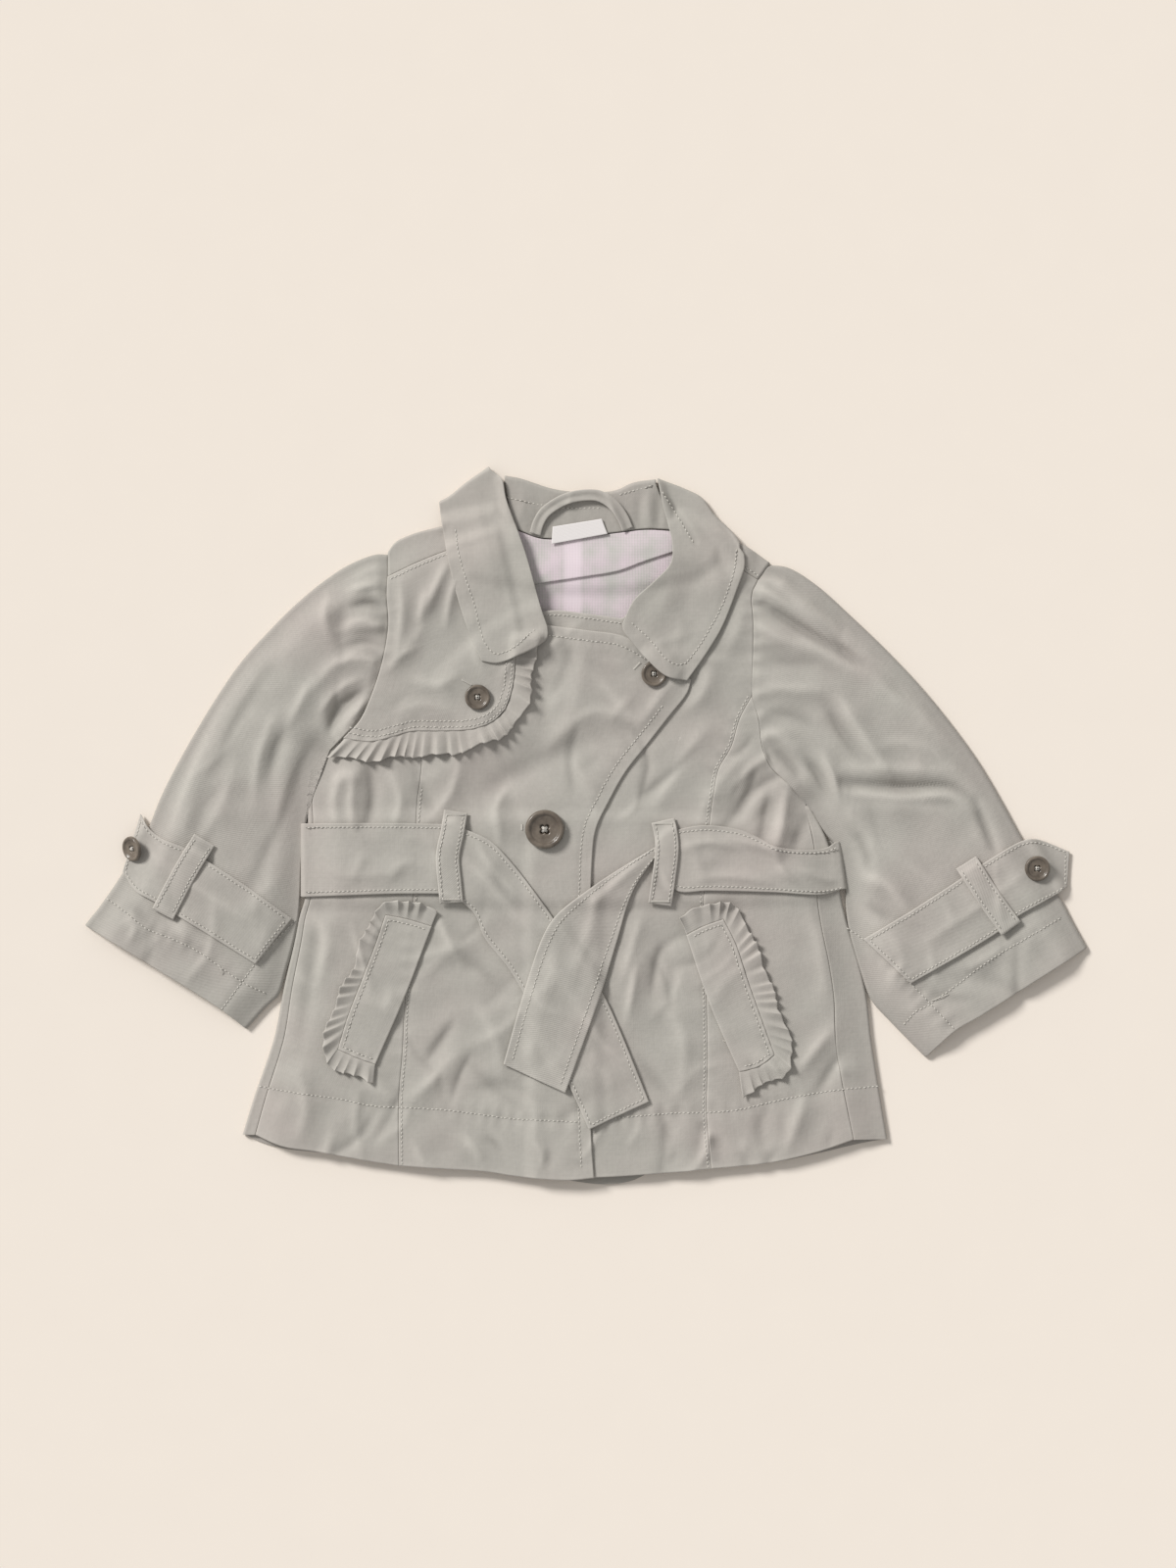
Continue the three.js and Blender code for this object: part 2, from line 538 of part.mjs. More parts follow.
// What lies under the back: the belt's run across it, the collar's fall and the leaves' tucks
const beltBack = strip(line(BELT_FOOT_BACK), line(BELT_TOP_BACK));
const fall = patch({
  bottom: line(FALL_EDGE),
  top: line(moved(ROLL, 0, -STAND_FOLD)),
  left: line(FALL_SIDE_RIGHT),
  right: line(FALL_SIDE_LEFT),
});
const leafRight = leafPatch(LEAF_RIGHT, -1);
const leafLeft = leafPatch(LEAF_LEFT, 1);

function leafPatch({ inner, outer, tip, fold }, side) {
  const [left, right] = side < 0 ? [outer, inner] : [inner, outer];
  return patch({ bottom: line(tip), top: line(fold), left: line(left), right: line(right) });
}

// The tuck of a leaf under its fold, as an outline from the fold inwards
function tuckOutline(leaf) {
  const edge = range(8).map((u) => leaf(u, 1));
  const inward = range(8).map((u) => {
    const [dx, dy] = direction(leaf(u, 1), leaf(u, 0.8));
    const [x, y] = leaf(u, 1);
    return [x + dx * (COLLAR_TUCK + 3), y + dy * (COLLAR_TUCK + 3)];
  });
  return [...edge, ...inward.reverse()];
}

const underBack = [beltBack.outline, fall.outline, tuckOutline(leafRight), tuckOutline(leafLeft)]
  .map((outline) => cover(outline));
const backUnder = (x, y) => LAYER * Math.max(...underBack.map((share) => share(x, y)));

// The body's outline, and how far a place lies in from the folded sides and shoulders
const bodyOutline = [
  ...sample(line(BACK_HEM)),
  ...sample(line(SIDE_LEFT)),
  ...sample(line(ARMHOLE_LEFT)),
  ...sample(line(SHOULDER_LEFT)).reverse(),
  ...sample(line(BACK_NECK)).reverse(),
  ...sample(line(SHOULDER_RIGHT)).reverse(),
  ...sample(line(ARMHOLE_RIGHT)).reverse(),
  ...sample(line(SIDE_RIGHT)).reverse(),
];
const foldedEdges = [SIDE_RIGHT, SIDE_LEFT, SHOULDER_RIGHT, SHOULDER_LEFT]
  .map((points) => sample(line(points)));
const bodyCover = cover(bodyOutline);

function loft(x, y) {
  const inward = Math.min(...foldedEdges.map((points) => distanceToLine(points, x, y)));
  const share = smooth(inward / LOFT_EDGE);
  return Math.max(0, share * (BODY_LOFT + foldHeight(BODY_FOLDS, x, y)));
}
const liningLower = strip(line(LINING_LOWER.bottom), line(LINING_LOWER.top));
const liningUpper = strip(line(LINING_UPPER.bottom), line(LINING_UPPER.top));
const liningShare = cover(liningLower.outline);
const liningRise = (x, y) => (LINING + GAP) * liningShare(x, y);
const frontUnder = (x, y) => backUnder(x, y) + LAYER + loft(x, y) + liningRise(x, y);

// The front panels: the rows up a princess seam are the same on both sides of it
const FRONT_ROWS = 22;
const SIDE_ROWS = 17;
const PRINCESS_SHARE = SIDE_ROWS / FRONT_ROWS;
const underFront = patch({
  bottom: line(UNDER_HEM),
  top: line(UNDER_NECK, UNDER_COLLAR_SEAM, SHOULDER_SEAM_LEFT),
  left: line(UNDER_EDGE),
  right: paced(
    { points: PRINCESS_LEFT, share: PRINCESS_SHARE },
    { points: ARMHOLE_LEFT.slice(6, 11), share: 1 - PRINCESS_SHARE },
  ),
});
const overFront = patch({
  bottom: line(OVER_HEM),
  top: line(SHOULDER_SEAM_RIGHT, OVER_COLLAR_SEAM, OVER_NECK),
  left: paced(
    { points: PRINCESS_RIGHT, share: PRINCESS_SHARE },
    { points: ARMHOLE_RIGHT.slice(3, 9), share: 1 - PRINCESS_SHARE },
  ),
  right: line(OVER_EDGE),
});
const wrapped = (points, rows, side) =>
  points.map(([x, y]) => [x - side * (tableWidth(rows, y) + SIDE_SEAM), y]);
const sideFrontRight = patch({
  bottom: line(SIDE_HEM_RIGHT),
  top: line([...ARMHOLE_RIGHT.slice(0, 4)].map(([x, y], i) => [x + (i ? 0 : 2.8), y + (i ? 0 : 2.4)])),
  left: line(wrapped(SIDE_RIGHT, WRAP_RIGHT, -1)),
  right: line(moved(PRINCESS_RIGHT, -SEAM)),
});
const sideFrontLeft = patch({
  bottom: line(SIDE_HEM_LEFT),
  top: line([...ARMHOLE_LEFT.slice(0, 7)].reverse()),
  left: line(moved(PRINCESS_LEFT, SEAM)),
  right: line(wrapped(SIDE_LEFT, WRAP_LEFT, 1)),
});

const underShare = cover(underFront.outline);
const overShare = cover(overFront.outline);
const overlap = (x, y) => underShare(x, y) * overShare(x, y);
function bodyTop(x, y) {
  const stack = LAYER + loft(x, y) + liningRise(x, y) + CLOTH + LAP * overlap(x, y);
  return backUnder(x, y) + bodyCover(x, y) * stack;
}

panel("front_left", underFront, 9, FRONT_ROWS, frontUnder);
panel("front_right", overFront, 11, FRONT_ROWS, (x, y) => frontUnder(x, y) + LAP * underShare(x, y));
panel("front_right_side", sideFrontRight, 5, SIDE_ROWS, frontUnder);
panel("front_left_side", sideFrontLeft, 5, SIDE_ROWS, frontUnder);

// Back: flat columns between the side folds, whose ends wrap onto the front below the armholes,
// and flat rows under the shoulder folds, whose ends wrap down to the shoulder seams
const SHOULDER_COLUMNS = 4;
const NECK_COLUMNS = 8;
const FLAT_COLUMNS = 2 * SHOULDER_COLUMNS + NECK_COLUMNS;
const WRAP_STEPS = [0, 0.5, 1];
const UPPER_ROWS = 8;
const LOWER_ROWS = 16;

function makeBack() {
  const shoulderShare = SHOULDER_COLUMNS / FLAT_COLUMNS;
  const onShoulder = (share) => (share < 0.5 ? share : share - 1 + shoulderShare) / shoulderShare;
  const top = paced(
    { points: moved(SHOULDER_RIGHT, 0, -FOLD_RADIUS), share: shoulderShare },
    { points: BACK_NECK, share: 1 - 2 * shoulderShare },
    { points: moved(SHOULDER_LEFT, 0, -FOLD_RADIUS), share: shoulderShare },
  );
  const sideRight = line(moved(SIDE_RIGHT, FOLD_RADIUS));
  const sideLeft = line(moved(SIDE_LEFT, -FOLD_RADIUS));
  const underarm = line([at(sideRight, 1), at(sideLeft, 1)]);
  const lower = patch({ bottom: line(BACK_HEM), top: underarm, left: sideRight, right: sideLeft });
  const upper = patch({
    bottom: underarm,
    top,
    left: line(ARMHOLE_RIGHT),
    right: line(ARMHOLE_LEFT),
  });
  const seam = [line(moved(SHOULDER_SEAM_RIGHT, 0, SEAM)), line(moved(SHOULDER_SEAM_LEFT, 0, SEAM))];
  const flat = ([x, y]) => ({ outer: [x, y, backUnder(x, y)], inner: [x, y, backUnder(x, y) + CLOTH] });
  const onFront = ([x, y]) => ({ outer: [x, y, frontUnder(x, y) + CLOTH], inner: [x, y, frontUnder(x, y)] });

  const sideWrap = (v, side) => {
    const edge = lower(side < 0 ? 0 : 1, v);
    const width = tableWidth(side < 0 ? WRAP_RIGHT : WRAP_LEFT, edge[1]) - FOLD_RADIUS;
    const seamPoint = [edge[0] - side * width, edge[1]];
    const wrap = WRAP_STEPS.map((step) => onFront(between(seamPoint, edge, step)));
    const centre = backUnder(...edge) + FOLD_RADIUS;
    const ring = foldRing(edge, [side, 0], centre, FOLD_RADIUS, CLOTH);
    return side < 0 ? [...wrap, ...ring] : [...ring.reverse(), ...wrap.reverse()];
  };
  const lowerRow = (v) => [
    ...sideWrap(v, -1),
    ...range(FLAT_COLUMNS).map((u) => flat(lower(u, v))),
    ...sideWrap(v, 1),
  ];
  const ends = WRAP_STEPS.length + FOLD_TURNS.length;
  const padded = (row) => [...Array(ends).fill(row[0]), ...row, ...Array(ends).fill(row[row.length - 1])];
  const topRow = range(FLAT_COLUMNS).map((u) => {
    return { edge: upper(u, 1), seam: at(seam[u < 0.5 ? 0 : 1], onShoulder(u)) };
  });
  const wrapRows = WRAP_STEPS.map((step) =>
    topRow.map((column) => onFront(between(column.seam, column.edge, step))),
  );
  const rings = topRow.map(({ edge, seam: end }) => {
    const [dx, dy] = direction(end, edge);
    return foldRing(edge, [dx, dy], backUnder(...edge) + FOLD_RADIUS, FOLD_RADIUS, CLOTH);
  });
  const ringRows = FOLD_TURNS.map((_, i) => rings.map((ring) => ring[i]));
  const upperRows = range(UPPER_ROWS).reverse().slice(0, -1)
    .map((v) => range(FLAT_COLUMNS).map((u) => flat(upper(u, v))));
  const lowerRows = range(LOWER_ROWS).reverse().map(lowerRow);
  const rows = [...[...wrapRows, ...ringRows, ...upperRows].map(padded), ...lowerRows];
  const live = (r, c) => {
    const flatColumn = c - ends;
    const isFlat = flatColumn >= 0 && flatColumn < FLAT_COLUMNS;
    const isShoulder = flatColumn < SHOULDER_COLUMNS || flatColumn >= FLAT_COLUMNS - SHOULDER_COLUMNS;
    if (r < ends) return isFlat && isShoulder;
    return isFlat || r >= ends + UPPER_ROWS;
  };
  wall("back", faceOf(rows, "outer"), faceOf(rows, "inner"), SAGE, { live });
}
makeBack();

// Neck: the lining's two parts, the stand with its fall, the label and the hanger loop
const liningUnder = (x, y) => backUnder(x, y) + LAYER;
panel("lining_lower", liningLower, 8, 5, liningUnder, LINING, CHECK);
panel("lining_upper", liningUpper, 9, 4, (x, y) => liningUnder(x, y) + liningRise(x, y), LINING, CHECK);

const standTop = STAND_RISE + CLOTH;
const rollFold = line(moved(ROLL, 0, -STAND_FOLD));
const stand = strip(line(STAND_SEAM), rollFold);
const standShare = cover(stand.outline);

function makeCollarBack() {
  const columns = range(11);
  const standRows = range(2).map((v) => columns.map((u) => stand(u, v)));
  const fallRows = range(4).reverse().map((v) => columns.map((u) => fall(u, v)));
  const rings = columns.map((u) => foldRing(at(rollFold, u), [0, 1], STAND_FOLD, STAND_FOLD, CLOTH));
  const ringRows = FOLD_TURNS.map((_, i) => rings.map((ring) => ring[i]));
  const level = (rows, z) => rows.map((row) => row.map(([x, y]) => [x, y, z]));
  const outer = [...level(standRows, standTop), ...faceOf(ringRows, "outer"), ...level(fallRows, 0)];
  const inner = [...level(standRows, STAND_RISE), ...faceOf(ringRows, "inner"), ...level(fallRows, CLOTH)];
  wall("collar_back", outer, inner, SAGE);
}
makeCollarBack();

const neckTop = (x, y) => Math.max(standTop, liningUnder(x, y) + liningRise(x, y) + LINING) + GAP;
panel("neck_label", strip(line(LABEL.bottom), line(LABEL.top)), 4, 2, neckTop, LINING, WHITE);
panel("hanger_loop", band(HANGER_ARCH, HANGER_WIDTH), 16, 1, neckTop);

// Storm flap and its ruffle
const flapTurn = 7;
const flap = patch({
  bottom: line(FLAP_SEAM.slice(0, flapTurn + 1)),
  right: line(FLAP_SEAM.slice(flapTurn), [...FLAP_COLLAR_SEAM].reverse()),
  top: line(moved(SHOULDER_SEAM_RIGHT, 0, -SEAM)),
  left: line(moved(ARMHOLE_RIGHT.slice(1, 9), SEAM)),
});
const EDGE_SHARE = 0.012;
function trimmed(place) {
  const inside = (u, v) => place(mix(EDGE_SHARE, 1 - EDGE_SHARE, u), mix(EDGE_SHARE, 1 - EDGE_SHARE, v));
  inside.outline = place.outline;
  return inside;
}
const onBody = (x, y) => bodyTop(x, y) + GAP;
panel("storm_flap", trimmed(flap), 9, 11, onBody);
const flapShare = cover(flap.outline);

// A gathered strip: flat where it is sewn, waving up off the cloth towards its free edge
function ruffle(name, seamLine, freeEdge, { pleats, rise }) {
  const place = strip(seamLine, freeEdge);
  const wave = (x, y, u, v) => {
    const phase = 2 * Math.PI * pleats * u + 0.9 * Math.sin(2 * Math.PI * 5 * u);
    return onBody(x, y) + (rise * v * (1 + Math.sin(phase))) / 2;
  };
  panel(name, place, pleats * STEPS_PER_PLEAT, 1, wave, RUFFLE_WALL);
  return place;
}
const ruffleSeam = line(moved(FLAP_SEAM, 0.6, -0.9));
const flapRuffle = ruffle("storm_flap_ruffle", ruffleSeam, line(FLAP_RUFFLE_EDGE), RUFFLES.flap);
const ruffleShare = cover(flapRuffle.outline);
const ruffleHeight = GAP + RUFFLES.flap.rise + RUFFLE_WALL;

// Pocket welts and their ruffles
for (const { side, welt, edge } of [
  { side: "right", welt: WELT_RIGHT, edge: RUFFLE_RIGHT },
  { side: "left", welt: WELT_LEFT, edge: RUFFLE_LEFT },
]) {
  const isRight = side === "right";
  const place = patch({
    bottom: line(welt.bottom),
    top: line(welt.top),
    left: line(isRight ? welt.outer : welt.inner),
    right: line(isRight ? welt.inner : welt.outer),
  });
  panel("pocket_welt_" + side, trimmed(place), 4, 9, onBody);
  const seamTop = isRight ? [...welt.top].reverse() : welt.top;
  const seamBottom = isRight ? welt.bottom : [...welt.bottom].reverse();
  const seamLine = line(seamTop, [...welt.outer].reverse(), seamBottom);
  ruffle("pocket_ruffle_" + side, seamLine, line(edge), RUFFLES.pocket);
}

// Sewn buttons: a turned disc with a raised rim, flat underneath
function button(name, [x, y], diameter, z) {
  const radius = diameter / 2;
  const height = diameter * BUTTON_HEIGHT;
  const profile = [
    [0, 0], [0.8, 0], [1, 0.35], [0.97, 0.8], [0.87, 1], [0.76, 0.9], [0.62, 0.7], [0, 0.62],
  ].map(([r, h]) => new THREE.Vector2(r * radius, h * height));
  const geometry = new THREE.LatheGeometry(profile, BUTTON_SIDES).rotateX(Math.PI / 2);
  const mesh = addMesh(name, geometry, TAUPE);
  mesh.position.set(x, y, z);
  return { share: cover(disc([x, y], diameter), diameter), top: z + height };
}
const WAIST_BUTTON = [-21.8, -2.1];
const CHEST_BUTTON = [35.9, 80];
const FLAP_BUTTON = [-57.2, 67.6];
const highest = (outline, height) => Math.max(...outline.map(([x, y]) => height(x, y)));
const seat = (centre, diameter, height) => highest(disc(centre, diameter), height) + BUTTON_SHANK;
button("button_waist", WAIST_BUTTON, LARGE_BUTTON, seat(WAIST_BUTTON, LARGE_BUTTON, bodyTop));
const chest = button("button_chest", CHEST_BUTTON, SMALL_BUTTON, seat(CHEST_BUTTON, SMALL_BUTTON, bodyTop));
const onFlap = (x, y) => bodyTop(x, y) + LAYER * flapShare(x, y);
button("button_flap", FLAP_BUTTON, SMALL_BUTTON, seat(FLAP_BUTTON, SMALL_BUTTON, onFlap));

// Collar leaves: each lies on the chest, turns over its fold and tucks under
function collarUnder(x, y) {
  const onFront = bodyTop(x, y) + Math.max(LAYER * flapShare(x, y), ruffleHeight * ruffleShare(x, y));
  const onButton = mix(onFront, Math.max(onFront, chest.top), chest.share(x, y));
  return Math.max(onButton, standTop * standShare(x, y)) + GAP;
}

const LEAF_ROWS = 9;
const isOffBody = ([x, y]) =>
  !isInside(bodyOutline, x, y) && distanceToLine(bodyOutline, x, y) > STAND_FOLD;
function makeLeaf(name, leaf) {
  const columns = range(7);
  const folds = columns.map((u) => {
    const edge = leaf(u, 1);
    const inward = direction(edge, leaf(u, 0.8));
    const radius = (collarUnder(...edge) + CLOTH) / 2;
    const centre = [edge[0] + inward[0] * radius, edge[1] + inward[1] * radius];
    return { inward, radius, centre };
  });
  const leafRows = range(LEAF_ROWS).map((v) =>
    columns.map((u, i) => {
      const [ex, ey] = leaf(u, 1);
      const [x, y] = leaf(u, v);
      const pull = v ** 3;
      return [x + (folds[i].centre[0] - ex) * pull, y + (folds[i].centre[1] - ey) * pull];
    }),
  );
  const outerLeaf = leafRows.map((row, r) =>
    row.map(([x, y], i) => [x, y, r === LEAF_ROWS ? 2 * folds[i].radius : collarUnder(x, y) + CLOTH]),
  );
  const innerLeaf = outerLeaf.map((row) => row.map(([x, y, z]) => [x, y, z - CLOTH]));
  const rings = folds.map(({ inward, radius, centre }) =>
    foldRing(centre, [-inward[0], -inward[1]], radius, radius, CLOTH),
  );
  const ringRows = FOLD_TURNS.map((_, i) => rings.map((ring) => ring[i]));
  const tuckRows = [0, 0.5, 1].map((step) =>
    folds.map(({ inward, centre }) => [
      centre[0] + inward[0] * COLLAR_TUCK * step,
      centre[1] + inward[1] * COLLAR_TUCK * step,
    ]),
  );
  const level = (z) => tuckRows.map((row) => row.map(([x, y]) => [x, y, z]));
  wall(
    name,
    [...outerLeaf, ...faceOf(ringRows, "outer"), ...level(0)],
    [...innerLeaf, ...faceOf(ringRows, "inner"), ...level(CLOTH)],
    SAGE,
    { live: (r, c) => r < LEAF_ROWS || [c, c + 1].every((i) => isOffBody(leaf(columns[i], 1))) },
  );
}
makeLeaf("collar_leaf_right", leafRight);
makeLeaf("collar_leaf_left", leafLeft);

// Belt: one run from loop to loop round the back, then a crossed tail from each loop
const beltFront = [
  strip(line(BELT_FOOT_RIGHT), line(BELT_TOP_RIGHT)),
  strip(line(BELT_FOOT_LEFT), line(BELT_TOP_LEFT)),
];

function makeBelt() {
  const across = range(3);
  const fold = (edge, side) => across.map((v) => {
    const [x, y] = edge(v);
    const radius = (onBody(x, y) + CLOTH) / 2;
    return { centre: [x - side * radius, y], radius, side };
  });
  const foldRight = fold((v) => beltFront[0](1, v), -1);
  const foldLeft = fold((v) => beltFront[1](0, v), 1);
  const onTop = ([x, y]) => ({ outer: [x, y, onBody(x, y) + CLOTH], inner: [x, y, onBody(x, y)] });
  const onTable = ([x, y]) => ({ outer: [x, y, 0], inner: [x, y, CLOTH] });
  const run = (front, folds, u, foldAt) => across.map((v, i) => {
    const pull = foldAt ? u ** 4 : (1 - u) ** 4;
    const [x, y] = front(u, v);
    return onTop([x - folds[i].side * folds[i].radius * pull, y]);
  });
  const rings = (folds) => FOLD_TURNS.map((_, turn) =>
    folds.map(({ centre, radius, side }) => foldRing(centre, [side, 0], radius, radius, CLOTH)[turn]),
  );
  const backColumn = (u) => across.map((v, i) => {
    const [x, y] = beltBack(u, v);
    const [x0, x1] = [beltBack(0, v)[0], beltBack(1, v)[0]];
    const ends = [foldRight[i].centre[0] - x0, foldLeft[i].centre[0] - x1];
    return onTable([x + mix(...ends, u), y]);
  });
  const columns = [
    ...range(8).map((u) => run(beltFront[0], foldRight, u, true)),
    ...rings(foldRight),
    ...range(14).map(backColumn),
    ...rings(foldLeft).reverse(),
    ...range(14).map((u) => run(beltFront[1], foldLeft, u, false)),
  ];
  wall("belt_waist", faceOf(columns, "outer"), faceOf(columns, "inner"), SAGE);
}
makeBelt();

const tailRight = patchOf(TAIL_RIGHT);
const tailLeft = patchOf(TAIL_LEFT);
const tailRightShare = cover(tailRight.outline);
const tailLeftShare = cover(tailLeft.outline);
const beltShares = beltFront.map(({ outline }) => cover(outline));
panel("belt_tail_right", tailRight, 15, 3, onBody);
panel("belt_tail_left", tailLeft, 3, 14, (x, y) => onBody(x, y) + LAYER * tailRightShare(x, y));
const onBelt = (x, y) => onBody(x, y) + LAYER * Math.max(
  ...beltShares.map((share) => share(x, y)),
  tailRightShare(x, y) + tailLeftShare(x, y),
);
panel("belt_loop_right", band(LOOP_RIGHT, BELT_LOOP_WIDTH), 8, 2, onBelt);
panel("belt_loop_left", band(LOOP_LEFT, BELT_LOOP_WIDTH), 8, 2, onBelt);

// Sleeves: flat tubes, open at the armhole and the cuff, with a strap, a keeper and a button
const SLEEVES = [
  {
    side: "right",
    outer: SLEEVE_OUTER_RIGHT,
    inner: SLEEVE_INNER_RIGHT,
    armhole: moved([...ARMHOLE_RIGHT].reverse(), -ARMHOLE_GAP),
    cuff: CUFF_RIGHT,
    strap: STRAP_RIGHT,
    keeper: KEEPER_RIGHT,
    button: [-238.6, -11.6],
  },
  {
    side: "left",
    outer: SLEEVE_OUTER_LEFT,
    inner: SLEEVE_INNER_LEFT,
    armhole: moved([...ARMHOLE_LEFT].reverse(), ARMHOLE_GAP),
    cuff: CUFF_LEFT,
    strap: STRAP_LEFT,
    keeper: KEEPER_LEFT,
    button: [238.7, -22.9],
  },
];

function makeSleeve({ side, outer, inner, armhole, cuff, strap, keeper, button: spot }) {
  const place = patch({ bottom: line(armhole), top: line(cuff), left: line(outer), right: line(inner) });
  const edges = [sample(line(outer)), sample(line(inner))];
  const puff = (x, y) => {
    const inward = Math.min(...edges.map((points) => distanceToLine(points, x, y)));
    const height = smooth(inward / SLEEVE_EDGE) * (SLEEVE_LOFT + foldHeight(SLEEVE_FOLDS, x, y));
    return THREE.MathUtils.clamp(height, 0, MOST_LOFT);
  };
  const flatTop = 2 * FOLD_RADIUS;
  const rows = range(15).map((v) => {
    const [start, end] = [place(0, v), place(1, v)];
    const outward = direction(end, start);
    const inset = FOLD_RADIUS / Math.hypot(end[0] - start[0], end[1] - start[1]);
    const across = (w) => place(mix(inset, 1 - inset, w), v);
    const top = range(8).map((w) => {
      const [x, y] = across(w);
      const z = flatTop + puff(x, y);
      return { outer: [x, y, z], inner: [x, y, z - CLOTH] };
    });
    const bottom = range(4).map((w) => {
      const [x, y] = across(1 - w);
      return { outer: [x, y, 0], inner: [x, y, CLOTH] };
    });
    const ring = (w, facing) => foldRing(across(w), facing, FOLD_RADIUS, FOLD_RADIUS, CLOTH);
    return [...top, ...ring(1, outward.map((d) => -d)), ...bottom, ...ring(0, outward).reverse()];
  });
  wall("sleeve_" + side, faceOf(rows, "outer"), faceOf(rows, "inner"), SAGE, { ring: true });

  const share = cover(place.outline);
  const sleeveTop = (x, y) => share(x, y) * (flatTop + puff(x, y));
  const strapPlace = strip(line(strap.bottom), line(strap.top));
  const strapShare = cover(strapPlace.outline);
  const strapTop = (x, y) => sleeveTop(x, y) + LAYER * strapShare(x, y);
  panel("cuff_strap_" + side, strapPlace, 14, 3, (x, y) => sleeveTop(x, y) + GAP);
  panel("cuff_keeper_" + side, band(keeper, KEEPER_WIDTH), 6, 2, (x, y) => strapTop(x, y) + GAP);
  button("button_cuff_" + side, spot, SMALL_BUTTON, seat(spot, SMALL_BUTTON, strapTop));
}
SLEEVES.forEach(makeSleeve);

export default coat;
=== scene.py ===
# %% [markdown]
# # A small child's trench coat, laid flat
#
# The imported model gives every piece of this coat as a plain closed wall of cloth. This lesson works out
# the same pieces again on finer grids, with their creases, gathers, stitching and finish. All the shapes
# are worked out in millimetres, and turned into metres when a mesh is made.

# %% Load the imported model
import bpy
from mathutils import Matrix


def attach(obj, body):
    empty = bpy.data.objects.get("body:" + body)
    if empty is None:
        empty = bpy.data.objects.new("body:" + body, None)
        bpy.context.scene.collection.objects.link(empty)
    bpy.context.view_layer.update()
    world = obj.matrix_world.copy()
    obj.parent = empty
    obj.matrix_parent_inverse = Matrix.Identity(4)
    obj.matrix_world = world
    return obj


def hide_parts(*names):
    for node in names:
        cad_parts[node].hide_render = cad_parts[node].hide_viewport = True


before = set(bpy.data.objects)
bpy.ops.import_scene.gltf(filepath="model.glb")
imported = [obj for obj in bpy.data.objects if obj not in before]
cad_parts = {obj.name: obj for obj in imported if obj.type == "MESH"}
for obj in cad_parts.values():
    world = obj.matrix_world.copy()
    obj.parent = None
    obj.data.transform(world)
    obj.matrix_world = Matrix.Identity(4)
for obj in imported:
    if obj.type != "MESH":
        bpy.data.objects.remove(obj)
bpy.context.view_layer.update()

import bpy
import numpy as np

MM = 0.001
TURN = 2 * np.pi

# %% [markdown]
# ## Camera, floor and light
#
# The coat was photographed from straight above, so the camera looks down. The floor is a plain pale
# sheet. A distant soft lamp at the upper left draws the folds and lights the floor evenly, and the pale
# world around keeps the shade open, as a large window and white walls do.

# %% Camera
LENS = 85
VIEW_HEIGHT = 0.832
VIEW_CENTRE = (0.00104, 0.02184)

camera = bpy.data.objects.new("camera", bpy.data.cameras.new("camera"))
bpy.context.scene.collection.objects.link(camera)
camera.data.lens = LENS
camera_distance = VIEW_HEIGHT * LENS / camera.data.sensor_width
camera.location = (*VIEW_CENTRE, camera_distance)
bpy.context.scene.camera = camera
print("camera height:", round(camera_distance, 3), "m")

# %% Lamp and world
KEY_FROM = (-0.64, 0.56, 0.58)
KEY_ANGLE = np.radians(16)
KEY_STRENGTH = 3.08
WORLD_LIGHT = 0.44

key = bpy.data.objects.new("key", bpy.data.lights.new("key", "SUN"))
key.data.angle = KEY_ANGLE
key.data.energy = KEY_STRENGTH
key.data.color = (1.0, 0.985, 0.965)
key.location = KEY_FROM
key.rotation_euler = (-key.location).to_track_quat("-Z", "Y").to_euler()
bpy.context.scene.collection.objects.link(key)
world = bpy.data.worlds.new("studio")
world.use_nodes = True
world.node_tree.nodes["Background"].inputs["Color"].default_value = (1, 0.99, 0.975, 1)
world.node_tree.nodes["Background"].inputs["Strength"].default_value = WORLD_LIGHT
bpy.context.scene.world = world
bpy.context.scene.view_settings.view_transform = "Standard"
print("key lamp at", KEY_FROM)

# %% [markdown]
# ## Lines and patches
#
# A pattern cutter draws a coat as lines through a few measured points. `smooth_line` does the same. Two
# lines make a strip, and four lines that meet at their ends make a patch, so each piece of cloth is a
# function of two shares, u along and v across.

# %% Smooth lines
def smooth_line(points, steps=14):
    """A centripetal Catmull-Rom curve: a cubic runs from each point to the next one. Its slope at a point
    comes from both neighbours, weighted by the square roots of the gaps between them."""
    p = np.array(points, float)
    p = np.vstack([2 * p[0] - p[1], p, 2 * p[-1] - p[-2]])
    gap = np.linalg.norm(np.diff(p, axis=0), axis=1) ** 0.5
    a, b, c = gap[:-2, None], gap[1:-1, None], gap[2:, None]
    before, start, end, after = p[:-3], p[1:-2], p[2:-1], p[3:]
    leave = b * ((start - before) / a - (end - before) / (a + b) + (end - start) / b)
    arrive = b * ((end - start) / b - (after - start) / (b + c) + (after - end) / c)
    t = np.linspace(0, 1, steps, endpoint=False)[:, None, None]
    cubic = (
        (2 * t**3 - 3 * t**2 + 1) * start
        + (t**3 - 2 * t**2 + t) * leave
        + (3 * t**2 - 2 * t**3) * end
        + (t**3 - t**2) * arrive
    )
    return np.vstack([cubic.transpose(1, 0, 2).reshape(-1, 2), end[-1:]])


def arc(points):
    """The distance along a chain from its start to each of its points."""
    steps = np.linalg.norm(np.diff(points, axis=0), axis=-1)
    return np.concatenate([[0], np.cumsum(steps)])


